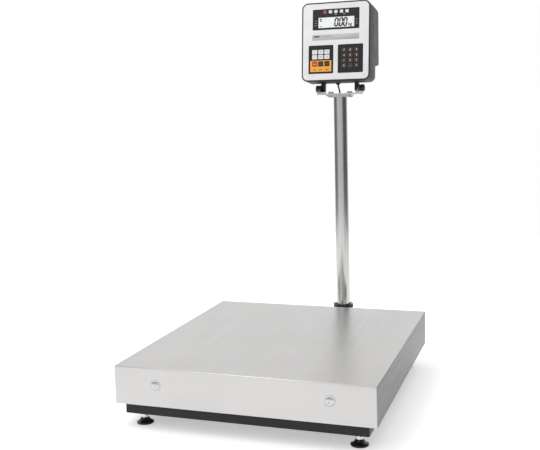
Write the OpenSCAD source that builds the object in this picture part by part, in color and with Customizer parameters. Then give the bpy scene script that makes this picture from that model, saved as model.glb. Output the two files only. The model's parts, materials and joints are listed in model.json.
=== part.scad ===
// Animal weighing scale: a low platform with a stainless pan, and an indicator on a column behind it.
// Millimetres, +Z up, +Y away from the person who reads the indicator.
// The origin is on the floor, at the middle of the whole object's outline.

/* [Weighing pan] */
// Width of the pan, side to side
pan_w = 600; // [560:10:700]
// Depth of the pan, front to back
pan_d = 650; // [620:10:760]
// Height of the pan's top above the floor
pan_top = 146; // [146:1:160]
// Height of the pan's skirt
skirt_h = 88; // [70:1:89]
// Thickness of the pan's sheet
pan_t = 1.5; // [1:0.25:2]
// Outside radius of the pan's bends
bend_r = 3; // [2.5:0.5:5]
// Distance of the front and rear skirt screws from the middle
skirt_screw_x = 200; // [180:5:205]

/* [Base frame] */
// Width of the base frame
base_w = 562; // [540:2:570]
// Depth of the base frame
base_d = 632; // [600:2:634]
// Height of the frame's underside above the floor
base_z = 34; // [32:1:36]
// Size of the frame's square section
rail = 40; // [36:1:40]
// Thickness of the frame's steel
rail_t = 2.5; // [2:0.5:3]

/* [Levelling feet] */
// Distance of each foot from the middle, side to side
foot_x = 252; // [248:1:260]
// Distance of each foot from the middle, front to back
foot_dy = 279; // [270:1:290]
// Diameter of a foot's pad
pad_dia = 40; // [34:1:44]

/* [Column] */
// Outside diameter of the column's tube
column_dia = 38.1; // [36:0.1:42]
// Distance of the column's axis to the right of the pan's middle
column_x = 54; // [40:1:60]
// Distance of the column's axis behind the pan's rear edge
column_gap = 62; // [60:1:70]
// Height of the column's top plate above the floor
column_top = 742; // [600:1:900]

/* [Indicator] */
// Width of the indicator's case
case_w = 192; // [190:1:200]
// Height of the indicator's case
case_h = 215; // [214:1:220]
// Depth of the case at its deepest
case_d = 118; // [112:1:124]
// Wall of the case
case_wall = 3.5; // [3:0.25:4]
// Corner radius of the case, seen from the front
case_r = 17; // [14:1:20]
// Backward lean of the face at rest, in degrees
face_lean = 6; // [0:1:10]
// Travel of a key
key_travel = 0.5; // [0.3:0.1:0.5]

/* [Hidden] */
$fn = 48;
BLACK = "#2c2a2d";
STEEL = "#c9c8c6";
BRIGHT = "#dcdcda";
ALLOY = "#b9bbbd";
RUBBER = "#171717";
NUDGE = 1;
// Clearance of a close fit, and of a bolt in its hole
fit = 0.05;
bolt_gap = 0.25;

function_keys = [for (i = [1:6]) str("function_key_", i)];
action_keys = [for (i = [1:3]) str("action_key_", i)];
action_colours = ["#c8402e", "#232225", "#232225"];
digit_keys = [for (i = [1:12]) str("digit_key_", i)];
foot_names = ["front_left", "front_right", "rear_left", "rear_right"];
foot_places = [[-foot_x, -foot_dy], [foot_x, -foot_dy], [-foot_x, foot_dy], [foot_x, foot_dy]];

// Skirt screws
screw_proud = 3;
screw_head_r = 13;
screw_z = pan_top - 40;

// Case outline, seen from its side: distances behind and above the tilt axis
face_v = -57;
case_low = 14;
case_high = case_low + case_h;
case_deep = face_v + case_d;
case_foot_v = 15;
ledge_w = 60;
edge_r = 6;
top_rear = [case_deep - 13 - edge_r, case_high - 12 - edge_r];

// Places, measured from the pan's middle in y, then moved so that the outline's middle is at 0
column_dy = pan_d / 2 + column_gap;
rear_reach = column_dy + top_rear.x * cos(face_lean) + top_rear.y * sin(face_lean) + edge_r;
front_reach = pan_d / 2 + screw_proud;
pan_y = -(rear_reach - front_reach) / 2;
skirt_in = pan_d / 2 - pan_t;
pan_under = pan_top - pan_t;

// Load path under the pan
pad_h = 4.5;
frame_top = pan_under - pad_h;
arm_h = 16;
arm_z = frame_top - arm_h;
arm_w = 40;
arm_y = 100;
tab_t = 3;
tab_low = 14;
cell = [40, 150, 40];
cell_gap = 5;
base_top = base_z + rail;
cell_z = base_top + cell_gap;
cell_hole_dy = [45, 65];
cell_thread = 16;
cell_bolt_r = 3.95;
cell_hole_r = cell_bolt_r + fit;
beam_w = 70;
beam_h = 30;
beam_y = 55;
beam_t = 3;
sleeve_r = 8;
block = [44, 44];
stop_r = 5;
stop_gap = 0.8;
stop_nut_h = 6;
stop_x = skirt_screw_x;

// Feet
stud_r = 5;
stud_hole_r = stud_r + fit;
hex_16_r = 9.2;
hex_17_r = 9.81;
pad_h_foot = 14;
hex_h = 8;
lock_nut_h = 6;
weld_nut_h = 8;
stud_top = 60;

// Column
column_t = 2;
column_r = column_dia / 2;
bracket_z = base_z + 5;
socket_r = 25;
socket_top = 132;
collar_r = 28;
collar_h = 10;
collar_screw_x = 23.4;
rear_bolt_x = [-40, -26, 26, 40];
rear_bolt_z = base_z + 14;
rear_bolt_r = 3;
flange_t = 4;
bolt_dx = 27;
bolt_dy = 15;
cable_hole_r = 8;
cable_z = 50;

// Head bracket and tilt axis
ear_in = 53;
ear_t = 3;
ear_d = 90;
tilt_z = column_top + 3 + 14;
lug_in = 43;
lug_out = 52.7;
lug_r = 9;
pivot_r = 3;

// Layers of the indicator's front, behind the case's rim; negative stands proud
panel_front = -1;
panel_back = 3;
gasket_back = 5;
ledge_back = 8;
bezel_front = -1.5;
bezel_back = 1;
key_front = -2.7;
flange_front = 1.1;
flange_back = 2.1;
switch_front = flange_back + key_travel + 0.4;
board_front = 6;
board_back = 7.6;
lens_front = -1.3;
lens_back = 0.7;
view_front = -0.8;
lcd_step = panel_back + 0.3;
lamp_front = -1.5;

// Rectangles on the face: middle across, middle above the case's underside, width, height
display = [0.5, 168, 131, 56];
lcd = [1.5, 159.5, 101, 28.5];
lamp_row = [0.5, 188.2];
lamp_pitch = 15.5;
lamp = [9.6, 8.8];
pad_left = [-41, 59.5, 70, 77];
pad_right = [42, 59.5, 70, 77];
panel_screw = [85.5, 94.5];
key_gap = 0.3;
function_key_size = [14.5, 11.6];
action_key_size = [13.5, 12];
digit_key_size = [14, 11.5];
key_pitch = 17.4;
function_row_w = [80, 66.3];
action_row_w = 47;
digit_row_w = [82.4, 68.3, 54.2, 40.2];

// The load cell's cable, from the cell to the head: across, back from the pan's middle, above the floor
cable_r = 2.25;
cable_route = [
    [0, 78, 99],
    [0, 88, 99],
    [2, 100, 96],
    [8, 120, 88],
    [18, 145, 76],
    [30, 175, 64],
    [40, 205, 56],
    [48, 235, 52],
    [53, 265, 50],
    [54, 295, 50],
    [54, 330, 50],
    [54, 360, 50],
    [54, 372, 51],
    [54, 380, 55],
    [54, 385, 62],
    [54, 387, 72],
    [54, 387, 90],
    [54, 387, 200],
    [54, 387, 320],
    [54, 387, 440],
    [54, 387, 560],
    [54, 387, 680],
    [54, 387, 718],
    [54, 387, 735],
    [53, 387.4, 746],
    [50.4, 388.6, 757],
    [48, 390, 765],
    [47, 391.2, 770],
    [47, 392.1, 779]
];
// Straight stretches get few rings; a number for each gap between two points
cable_steps = [1, 2, 2, 2, 2, 3, 2, 2, 2, 2, 2, 2, 2, 2, 2, 2, 1, 1, 1, 1, 1, 1, 2, 2, 2, 2, 1, 1];
grommet_u = -7;
grommet_v = 3;
grommet_h = 3;
grommet_top = case_wall + 2.3;
socket_at = [40, 38, ledge_w - 3];

// ---- Helpers ----

module from_pan() {
    translate([0, pan_y, 0])
        children();
}

module at_column(z = 0) {
    translate([column_x, pan_y + column_dy, z])
        children();
}

// The indicator's own frame: its origin is on the tilt axis, y is behind it and z above it
module in_head() {
    at_column(tilt_z)
        rotate([-face_lean, 0, 0])
            children();
}

// Outward normal of the line that touches two circles of an anticlockwise outline
function edge_normal(a, b) = let(
    d = [b.x - a.x, b.y - a.y],
    turn = atan2(d.y, d.x) - 90 + asin((a.z - b.z) / norm(d))
) [cos(turn), sin(turn)];

// An outline with round corners: each corner is [x, y, radius] of its arc, anticlockwise
module rounded_outline(corners) {
    count = len(corners);
    touching = [
        for (i = [0:count - 1])
            let(
                here = corners[i],
                before = corners[(i + count - 1) % count],
                after = corners[(i + 1) % count]
            )
            for (n = [edge_normal(before, here), edge_normal(here, after)])
                [here.x + here.z * n.x, here.y + here.z * n.y]
    ];
    polygon(touching);
    for (corner = corners)
        if (corner.z > 0)
            translate([corner.x, corner.y])
                circle(r = corner.z);
}

module rounded_rect(w, h, r) {
    x = w / 2 - r;
    y = h / 2 - r;
    rounded_outline([[-x, -y, r], [x, -y, r], [x, y, r], [-x, y, r]]);
}

// A face-parallel plate in the indicator's frame, from one depth behind the rim to another
module face_plate(front, back, w_middle, u_middle = 0) {
    translate([u_middle, face_v + back, case_low + w_middle])
        rotate([90, 0, 0])
            linear_extrude(back - front)
                children();
}

// A rectangular steel tube along x, its ends open
module tube_x(length, w, h, t) {
    difference() {
        translate([-length / 2, -w / 2, 0])
            cube([length, w, h]);
        translate([-length / 2 - NUDGE, -w / 2 + t, t])
            cube([length + 2 * NUDGE, w - 2 * t, h - 2 * t]);
    }
}

module hex(h, r) {
    cylinder(h = h, r = r, $fn = 6);
}

// A bolt with a hexagon head at its origin, its shank going up
module hex_bolt(shank_r, length, head_r, head_h) {
    translate([0, 0, -head_h])
        hex(head_h, head_r);
    cylinder(h = length, r = shank_r);
}

module ring(outer, inner, h) {
    difference() {
        cylinder(h = h, r = outer);
        translate([0, 0, -NUDGE])
            cylinder(h = h + 2 * NUDGE, r = inner);
    }
}

// ---- Base ----

// Square tube all round, two beams across it, and a boss with sleeved bolt holes for the load cell
module base_frame() color(BLACK) from_pan() {
    difference() {
        union() {
            frame_ring();
            for (side = [-1, 1])
                translate([0, side * beam_y, base_top - beam_h])
                    tube_x(base_w - 2 * rail + 2 * NUDGE, beam_w, beam_h, beam_t);
            for (dy = cell_hole_dy)
                translate([0, dy, base_top - beam_h])
                    cylinder(h = beam_h, r = sleeve_r);
            translate([-block.x / 2, beam_y - block.y / 2, base_top])
                cube([block.x, block.y, cell_gap]);
        }
        for (dy = cell_hole_dy)
            translate([0, dy, base_z])
                cylinder(h = rail + 2 * cell_gap, r = cell_bolt_r + 2 * bolt_gap);
        for (place = foot_places)
            translate([place.x, place.y, base_z - NUDGE])
                cylinder(h = rail_t + 2 * NUDGE, r = stud_hole_r + 2 * bolt_gap);
        for (dx = [-stop_x, stop_x])
            for (dy = [-beam_y, beam_y])
                translate([dx, dy, base_top - beam_t - NUDGE])
                    cylinder(h = beam_t + 2 * NUDGE, r = stop_r + bolt_gap);
        for (dx = rear_bolt_x)
            translate([column_x + dx, base_d / 2 + NUDGE, rear_bolt_z])
                rotate([90, 0, 0])
                    cylinder(h = rail_t + 2 * NUDGE, r = rear_bolt_r + bolt_gap);
        translate([column_x, base_d / 2 + NUDGE, cable_z])
            rotate([90, 0, 0])
                cylinder(h = rail + 2 * NUDGE, r = cable_r + 2);
    }
}

module frame_ring() {
    hollow = rail - rail_t;
    difference() {
        translate([0, 0, base_z])
            linear_extrude(rail)
                rounded_rect(base_w, base_d, 4);
        translate([0, 0, base_z - NUDGE])
            linear_extrude(rail + 2 * NUDGE)
                square([base_w - 2 * rail, base_d - 2 * rail], center = true);
        translate([0, 0, base_z + rail_t])
            linear_extrude(rail - 2 * rail_t)
                difference() {
                    rounded_rect(base_w - 2 * rail_t, base_d - 2 * rail_t, 4 - rail_t);
                    square([base_w - 2 * hollow, base_d - 2 * hollow], center = true);
                }
    }
}

// The weld nut inside the tube and the lock nut below it, at each foot
module foot_nuts() color(STEEL) from_pan() {
    for (place = foot_places)
        translate([place.x, place.y, 0])
            difference() {
                union() {
                    translate([0, 0, base_z - lock_nut_h])
                        hex(lock_nut_h, hex_17_r);
                    translate([0, 0, base_z + rail_t])
                        rotate([0, 0, 30])
                            hex(weld_nut_h, hex_16_r);
                }
                cylinder(h = base_top, r = stud_hole_r);
            }
}

// Bolts that stop the pan's frame at full load, with a lock nut on the beam and a weld nut inside it
module overload_stops() color(STEEL) from_pan() {
    stop_top = arm_z - stop_gap;
    shank_from = base_top - 12;
    for (dx = [-stop_x, stop_x])
        for (dy = [-beam_y, beam_y])
            translate([dx, dy, 0]) {
                translate([0, 0, shank_from])
                    cylinder(h = stop_top - shank_from - NUDGE, r = stop_r);
                for (z = [stop_top - stop_nut_h, base_top, base_top - beam_t - stop_nut_h])
                    translate([0, 0, z])
                        hex(stop_nut_h, hex_17_r);
            }
}

// Single-point cell: a bar thinned by two joined holes, so that its front end sinks level
module load_cell() color(ALLOY) from_pan() {
    difference() {
        translate([-cell.x / 2, -cell.y / 2, cell_z])
            cube(cell);
        translate([-cell.x, 0, cell_z + cell.z / 2])
            rotate([0, 90, 0]) {
                for (dy = [-16, 16])
                    translate([0, dy, 0])
                        cylinder(h = 2 * cell.x, r = 15);
                translate([-10, -16, 0])
                    cube([20, 32, 2 * cell.x]);
            }
        for (dy = cell_hole_dy) {
            translate([0, dy, cell_z - NUDGE])
                cylinder(h = cell_thread + 2 + NUDGE, r = cell_hole_r);
            translate([0, -dy, cell_z + cell.z - cell_thread - 2])
                cylinder(h = cell_thread + 2 + NUDGE, r = cell_hole_r);
        }
    }
    difference() {
        translate([0, cell.y / 2, cell_z + cell.z / 2])
            rotate([-90, 0, 0])
                cylinder(h = 10, r = 5);
        translate([0, cell.y / 2 + 3, cell_z + cell.z / 2])
            rotate([-90, 0, 0])
                cylinder(h = 10, r = cable_r + 0.3);
    }
}

module load_cell_bolts() color(STEEL) from_pan() {
    for (dy = cell_hole_dy)
        translate([0, dy, base_top - beam_h])
            hex_bolt(cell_bolt_r, beam_h + cell_gap + cell_thread, 7.5, 5.3);
}

// ---- Column ----

// Foot plate, rear plate, ribs and socket, welded
module column_bracket() color(BLACK) {
    difference() {
        union() {
            from_pan()
                translate([column_x - 48, base_d / 2, base_z])
                    cube([96, 5, 22]);
            from_pan()
                translate([0, 0, base_z])
                    linear_extrude(bracket_z - base_z)
                        rounded_outline([
                            [column_x - 45, base_d / 2, 0],
                            [column_x + 45, base_d / 2, 0],
                            [column_x, column_dy + 3, 34]
                        ]);
            for (dx = [-15, 15])
                from_pan()
                    translate([column_x + dx - 2.5, base_d / 2 + 4, bracket_z - NUDGE])
                        cube([5, column_gap - 12, 17]);
            at_column(bracket_z)
                cylinder(h = socket_top - bracket_z, r = socket_r);
        }
        at_column(bracket_z)
            cylinder(h = socket_top, r = column_r + fit);
        from_pan()
            for (dx = rear_bolt_x)
                translate([column_x + dx, base_d / 2 + 5 + NUDGE, rear_bolt_z])
                    rotate([90, 0, 0])
                        cylinder(h = 5 + 2 * NUDGE, r = rear_bolt_r + bolt_gap);
        from_pan()
            translate([column_x, column_dy, cable_z])
                rotate([90, 0, 0])
                    cylinder(h = column_gap + 12, r = 4.5);
        for (dx = [-collar_screw_x, collar_screw_x])
            at_column(socket_top - 14)
                translate([dx, 0, 0])
                    cylinder(h = 20, r = 1);
    }
}

module spirit_level() color("#b9d36a") from_pan() {
    translate([column_x - 30, base_d / 2 + 29, bracket_z]) {
        ring(9, 7, 11);
        cylinder(h = 9, r = 7);
    }
}

module column() color(BRIGHT) at_column() {
    difference() {
        translate([0, 0, bracket_z])
            ring(column_r, column_r - column_t, column_top - flange_t - bracket_z);
        translate([0, 0, cable_z])
            rotate([90, 0, 0])
                cylinder(h = column_dia, r = 4.5);
    }
    difference() {
        translate([0, 0, column_top - flange_t])
            linear_extrude(flange_t)
                rounded_rect(2 * bolt_dx + 16, 2 * bolt_dy + 18, 4);
        translate([0, 0, column_top - flange_t - NUDGE])
            cylinder(h = flange_t + 2 * NUDGE, r = cable_hole_r);
        bracket_bolt_holes(column_top - flange_t - NUDGE, flange_t + 2 * NUDGE);
    }
}

module bracket_bolt_holes(z, h, r = 2.75) {
    for (dx = [-bolt_dx, bolt_dx])
        for (dy = [-bolt_dy, bolt_dy])
            translate([dx, dy, z])
                cylinder(h = h, r = r);
}

// Split collar that is screwed down on the socket and grips the tube
module column_collar() color(BLACK) at_column(socket_top) {
    difference() {
        union() {
            cylinder(h = collar_h, r = collar_r);
            for (side = [-1, 1])
                translate([side * collar_screw_x, 0, 0])
                    cylinder(h = collar_h, r = 5.5);
        }
        translate([0, 0, -NUDGE])
            cylinder(h = collar_h + 2 * NUDGE, r = column_r + fit);
        translate([-2, -collar_r - NUDGE, -NUDGE])
            cube([4, collar_r, collar_h + 2 * NUDGE]);
        for (dx = [-collar_screw_x, collar_screw_x])
            translate([dx, 0, -NUDGE])
                cylinder(h = collar_h + 2 * NUDGE, r = 2.2);
    }
}

// Four bolts and nuts at the rear rail, and the collar's two screws
module column_bolts() color(STEEL) {
    from_pan()
        for (dx = rear_bolt_x)
            translate([column_x + dx, base_d / 2 + 5, rear_bolt_z]) {
                rotate([90, 0, 0])
                    hex_bolt(rear_bolt_r, 17, 5.75, 4);
                translate([0, -5 - rail_t, 0])
                    rotate([90, 0, 0])
                        hex(5, 5.75);
            }
    for (dx = [-collar_screw_x, collar_screw_x])
        at_column(socket_top + collar_h)
            translate([dx, 0, 0]) {
                cylinder(h = 2.6, r1 = 4, r2 = 3);
                translate([0, 0, -collar_h - 10])
                    cylinder(h = collar_h + 10, r = 0.95);
            }
}

// ---- Head bracket ----

// U-shaped sheet: a plate on the column's top and two upright ears that carry the tilt axis
module head_bracket() color(BRIGHT) at_column(column_top) {
    outer = ear_in + ear_t;
    difference() {
        translate([-outer, -ear_d / 2, 0])
            cube([2 * outer, ear_d, ear_t]);
        translate([0, 0, -NUDGE])
            cylinder(h = ear_t + 2 * NUDGE, r = cable_hole_r);
        bracket_bolt_holes(-NUDGE, ear_t + 2 * NUDGE);
        for (side = [-1, 1])
            translate([side * (outer - 3), -ear_d, 3])
                bend_corner(side);
    }
    for (side = [-1, 1])
        difference() {
            translate([side > 0 ? ear_in : -outer, 0, 0])
                rotate([90, 0, 90])
                    linear_extrude(ear_t)
                        rounded_outline([
                            [-ear_d / 2 + 4, 5, 4],
                            [ear_d / 2 - 4, 5, 4],
                            [0, tilt_z - column_top, 11]
                        ]);
            translate([-outer - NUDGE, 0, tilt_z - column_top])
                rotate([0, 90, 0])
                    cylinder(h = 2 * outer + 2 * NUDGE, r = pivot_r + 0.3);
        }
    for (side = [-1, 1])
        translate([side > 0 ? ear_in : -outer, -ear_d / 2, ear_t])
            cube([ear_t, ear_d, 3]);
}

// What the bend takes off the plate's lower edge
module bend_corner(side) {
    difference() {
        translate([side > 0 ? 0 : -4, 0, -4])
            cube([4, 2 * ear_d, 4]);
        rotate([-90, 0, 0])
            cylinder(h = 2 * ear_d, r = 3);
    }
}

module head_bracket_bolts() color(STEEL) at_column(column_top) {
    for (dx = [-bolt_dx, bolt_dx])
        for (dy = [-bolt_dy, bolt_dy])
            translate([dx, dy, 0]) {
                translate([0, 0, -flange_t])
                    hex_bolt(2.5, flange_t + ear_t + 6, 4.62, 3.5);
                translate([0, 0, ear_t])
                    hex(4, 4.62);
            }
}

// ---- Cable ----

function spline(a, b, c, d, t) =
    0.5 * (2 * b + (c - a) * t + (2 * a - 5 * b + 4 * c - d) * t * t + (3 * b - a - 3 * c + d) * t * t * t);

function cable_points() = let(last = len(cable_route) - 1) concat(
    [
        for (i = [0:last - 1])
            let(
                a = cable_route[max(i - 1, 0)],
                b = cable_route[i],
                c = cable_route[i + 1],
                d = cable_route[min(i + 2, last)]
            )
            for (k = [0:cable_steps[i] - 1])
                cable_steps[i] == 1 ? b : spline(a, b, c, d, k / cable_steps[i])
    ],
    [cable_route[last]]
);

// A ring of points round a route point, square to the direction there
function cable_ring(at, ahead, sides) = let(
    t = ahead / norm(ahead),
    side = cross(t, [1, 0, 0]),
    u = side / norm(side),
    v = cross(t, u)
) [for (k = [0:sides - 1]) at + cable_r * (u * cos(360 * k / sides) + v * sin(360 * k / sides))];

module load_cell_cable() color(RUBBER) from_pan() {
    sides = 8;
    points = cable_points();
    last = len(points) - 1;
    rings = [
        for (i = [0:last])
            cable_ring(points[i], points[min(i + 1, last)] - points[max(i - 1, 0)], sides)
    ];
    vertices = [for (one = rings) for (p = one) p];
    walls = [
        for (i = [0:last - 1])
            for (k = [0:sides - 1])
                let(next = (k + 1) % sides)
                [i * sides + k, i * sides + next, (i + 1) * sides + next, (i + 1) * sides + k]
    ];
    start_cap = [for (k = [sides - 1:-1:0]) k];
    end_cap = [for (k = [0:sides - 1]) last * sides + k];
    polyhedron(points = vertices, faces = concat(walls, [start_cap], [end_cap]));
}

// ---- Pan ----

// A box with round bends along its top and its upright edges, and a flat underside
module bent_box(w, d, h, r) {
    intersection() {
        linear_extrude(h)
            rounded_rect(w, d, r);
        rotate([90, 0, 0])
            linear_extrude(d + 2 * NUDGE, center = true)
                bent_profile(w, h, r);
        rotate([90, 0, 90])
            linear_extrude(w + 2 * NUDGE, center = true)
                bent_profile(d, h, r);
    }
}

module bent_profile(w, h, r) {
    rounded_outline([[-w / 2, 0, 0], [w / 2, 0, 0], [w / 2 - r, h - r, r], [r - w / 2, h - r, r]]);
}

module weighing_pan() color(STEEL) from_pan() {
    difference() {
        translate([0, 0, pan_top - skirt_h])
            bent_box(pan_w, pan_d, skirt_h, bend_r);
        translate([0, 0, pan_top - skirt_h - NUDGE])
            bent_box(pan_w - 2 * pan_t, pan_d - 2 * pan_t, skirt_h - pan_t + NUDGE, bend_r - pan_t);
        skirt_screw_holes();
    }
}

module skirt_screw_holes(r = 4.25) {
    for (dx = [-skirt_screw_x, skirt_screw_x])
        translate([dx, pan_d, screw_z])
            rotate([90, 0, 0])
                cylinder(h = 2 * pan_d, r = r);
}

// Two long tubes, two cross tubes, a middle plate with the block on the load cell, and end tabs
module pan_frame() color(BLACK) from_pan() {
    difference() {
        union() {
            for (side = [-1, 1]) {
                translate([side * skirt_screw_x, 0, arm_z])
                    rotate([0, 0, 90])
                        tube_x(2 * (skirt_in - tab_t), arm_w, arm_h, rail_t);
                translate([0, side * arm_y, arm_z])
                    tube_x(2 * skirt_screw_x - arm_w + 2 * NUDGE, arm_w, arm_h, rail_t);
                for (dx = [-skirt_screw_x, skirt_screw_x])
                    translate([dx - arm_w / 2, side * (skirt_in - 1.7) - tab_t / 2, screw_z - tab_low])
                        cube([arm_w, tab_t, frame_top - screw_z + tab_low]);
            }
            translate([-45, -arm_y - 10, frame_top - 6])
                cube([90, 2 * arm_y + 20, 6]);
            translate([-block.x / 2, -beam_y - block.y / 2, arm_z - cell_gap])
                cube([block.x, block.y, arm_h + cell_gap - NUDGE]);
        }
        for (dy = cell_hole_dy)
            translate([0, -dy, arm_z - cell_gap - NUDGE]) {
                cylinder(h = arm_h + cell_gap + 2 * NUDGE, r = cell_bolt_r + bolt_gap);
                translate([0, 0, cell_gap + arm_h - 4.5 + NUDGE])
                    cylinder(h = 5 + NUDGE, r = 7);
            }
        skirt_screw_holes();
    }
}

module pan_pads() color(RUBBER) from_pan() {
    for (dx = [-skirt_screw_x, skirt_screw_x])
        for (dy = [-270, 0, 270])
            translate([dx, dy, frame_top])
                cylinder(h = pad_h, r = 15);
}

// Truss-head screws with a cross recess, each on a washer, at the front and rear skirts
module pan_screws() color(BRIGHT) from_pan() {
    for (dx = [-skirt_screw_x, skirt_screw_x])
        for (turn = [0, 180])
            rotate([0, 0, turn])
                translate([dx, -pan_d / 2, screw_z])
                    rotate([90, 0, 0]) {
                        difference() {
                            union() {
                                cylinder(h = 1, r = screw_head_r);
                                translate([0, 0, 1])
                                    cylinder(h = screw_proud - 1, r1 = 9, r2 = 6);
                            }
                            translate([-4, -1, 1.4])
                                cube([8, 2, screw_proud]);
                            translate([-1, -4, 1.4])
                                cube([2, 8, screw_proud]);
                        }
                        translate([0, 0, -12])
                            cylinder(h = 12, r = 4);
                    }
}

module pan_frame_bolts() color(STEEL) from_pan() {
    for (dy = cell_hole_dy)
        translate([0, -dy, frame_top - 4.3]) {
            cylinder(h = 4, r = 6.5);
            translate([0, 0, -arm_h - cell_gap + 4.3 - 15])
                cylinder(h = arm_h + cell_gap - 4.3 + 15, r = cell_bolt_r);
        }
}

// ---- Feet ----

module foot_pad(place) color(RUBBER) from_pan() {
    translate([place.x, place.y, 0])
        difference() {
            union() {
                cylinder(h = 4, r = pad_dia / 2);
                translate([0, 0, 4])
                    cylinder(h = pad_h_foot - 4, r1 = pad_dia / 2 - 1, r2 = 9);
            }
            translate([0, 0, 6])
                cylinder(h = pad_h_foot, r = stud_hole_r);
        }
}

module foot_stud(place) color(BRIGHT) from_pan() {
    translate([place.x, place.y, 0]) {
        translate([0, 0, 6.3])
            cylinder(h = stud_top - 6.3, r = stud_r);
        translate([0, 0, pad_h_foot + 0.1])
            hex(hex_h, hex_17_r);
    }
}

// ---- Indicator ----

// The case's outline from the side, its rear and lower walls moved in by an inset
module case_side(inset) {
    front = inset > 0 ? face_v - NUDGE : face_v;
    low_r = 15;
    rotate([90, 0, 90])
        linear_extrude(case_w + 2 * NUDGE, center = true)
            rounded_outline([
                [front, case_low + inset, 0],
                [case_foot_v - low_r, case_low + low_r, low_r - inset],
                [case_foot_v - inset, ledge_w + inset, 0],
                [case_deep - edge_r, ledge_w + 8 + edge_r, edge_r - inset],
                [top_rear.x, top_rear.y, edge_r - inset],
                [face_v + 27, case_high - edge_r, edge_r - inset],
                [front, case_high - inset, 0]
            ]);
}

module case_solid(inset, r) {
    intersection() {
        case_side(inset);
        translate([0, case_deep + NUDGE, case_low + case_h / 2])
            rotate([90, 0, 0])
                linear_extrude(case_d + 3 * NUDGE)
                    rounded_rect(case_w - 2 * inset, case_h - 2 * inset, r);
    }
}

module rear_case() color(BLACK) in_head() {
    difference() {
        union() {
            difference() {
                case_solid(0, case_r);
                case_solid(case_wall, case_r - case_wall);
            }
            difference() {
                face_plate(gasket_back, ledge_back, case_h / 2)
                    rounded_rect(case_w - case_wall, case_h - case_wall, case_r - case_wall / 2);
                face_plate(gasket_back - NUDGE, ledge_back + NUDGE, case_h / 2)
                    rounded_rect(case_w - 15, case_h - 15, case_r - 7.5);
            }
            for (u = [-panel_screw.x, panel_screw.x])
                for (w = [-panel_screw.y, panel_screw.y])
                    face_plate(gasket_back, 30, case_h / 2 + w, u)
                        circle(r = 6);
            for (side = [-1, 1])
                translate([side > 0 ? lug_in : -lug_out, 0, 0])
                    rotate([90, 0, 90])
                        linear_extrude(lug_out - lug_in) {
                            circle(r = lug_r);
                            translate([-lug_r, 0])
                                square([2 * lug_r, case_low + 2]);
                        }
        }
        for (side = [-1, 1])
            translate([side > 0 ? lug_in + 2 : -lug_out - NUDGE, 0, 0])
                rotate([0, 90, 0])
                    cylinder(h = lug_out - lug_in - 2 + NUDGE, r = pivot_r + 0.05);
        for (u = [-panel_screw.x, panel_screw.x])
            for (w = [-panel_screw.y, panel_screw.y])
                face_plate(gasket_back - NUDGE, 22, case_h / 2 + w, u)
                    circle(r = 1.5);
        translate([grommet_u, grommet_v, case_low - NUDGE])
            cylinder(h = NUDGE + grommet_top + 0.2, r = 5);
        for (side = [-1, 1])
            translate([side * socket_at.x, socket_at.y, socket_at.z - NUDGE])
                cylinder(h = 22, r = 8);
    }
}

// The face's outline, a little smaller than the inside of the case's rim
module panel_outline() {
    play = 0.2;
    inset = case_wall + play;
    rounded_rect(case_w - 2 * inset, case_h - 2 * inset, case_r - inset);
}

module front_panel() color("#e9e9ea") in_head() {
    difference() {
        face_plate(panel_front, panel_back, case_h / 2)
            panel_outline();
        face_plate(panel_front - NUDGE, lens_back, display[1], display[0])
            rounded_rect(display[2] + 0.4, display[3] + 0.4, 2.2);
        face_plate(0, panel_back + NUDGE, display[1], display[0])
            rounded_rect(display[2] - 6, display[3] - 6, 2);
        for (pad = [pad_left, pad_right]) {
            face_plate(panel_front - NUDGE, bezel_back, pad[1], pad[0])
                rounded_rect(pad[2] + 0.4, pad[3] + 0.4, 2.2);
            face_plate(0, panel_back + NUDGE, pad[1], pad[0])
                rounded_rect(pad[2] - 6, pad[3] - 6, 2);
        }
        panel_screw_places(panel_front - NUDGE, panel_back + NUDGE)
            circle(r = 2);
        panel_screw_places(panel_front - NUDGE, panel_front + 2.2)
            circle(r = 4.2);
    }
}

module panel_screw_places(front, back) {
    for (u = [-panel_screw.x, panel_screw.x])
        for (w = [-panel_screw.y, panel_screw.y])
            face_plate(front, back, case_h / 2 + w, u)
                children();
}

module case_gasket() color("#3a3a3a") in_head() {
    difference() {
        face_plate(panel_back, gasket_back, case_h / 2)
            panel_outline();
        face_plate(panel_back - NUDGE, gasket_back + NUDGE, case_h / 2)
            rounded_rect(case_w - 15, case_h - 15, case_r - 7.5);
        panel_screw_places(panel_back - NUDGE, gasket_back + NUDGE)
            circle(r = 2);
    }
}

module panel_screws() color(STEEL) in_head() {
    difference() {
        panel_screw_places(panel_front + 0.2, panel_front + 2.2)
            circle(r = 3.9);
        panel_screw_places(panel_front, panel_front + 1.2) {
            square([5, 0.9], center = true);
            square([0.9, 5], center = true);
        }
    }
    panel_screw_places(panel_front + 2.2, 20)
        circle(r = 1.45);
}

// Black-bordered window with an opening over the LCD and a hole for each lamp
module display_window() color("#1d1d20") in_head() {
    difference() {
        face_plate(lens_front, lens_back, display[1], display[0])
            rounded_rect(display[2], display[3], 2);
        face_plate(lens_front - NUDGE, lens_back + NUDGE, lcd[1], lcd[0])
            square([lcd[2], lcd[3]], center = true);
        lamp_places(lens_front - NUDGE, lens_back + NUDGE)
            square([lamp.x + 0.4, lamp.y + 0.4], center = true);
    }
}

module lamp_places(front, back) {
    for (i = [-2:2])
        face_plate(front, back, lamp_row.y, lamp_row.x + i * lamp_pitch)
            children();
}

module lcd_module() color("#f2f4f1") in_head() {
    face_plate(view_front, lcd_step, lcd[1], lcd[0])
        square([lcd[2] - 0.4, lcd[3] - 0.4], center = true);
    face_plate(lcd_step, board_front, lcd[1], lcd[0])
        square([lcd[2] + 14, lcd[3] + 8], center = true);
}

module indicator_lamps() color("#f1f1f1") in_head() {
    lamp_places(lamp_front, board_front)
        square(lamp, center = true);
}

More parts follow.
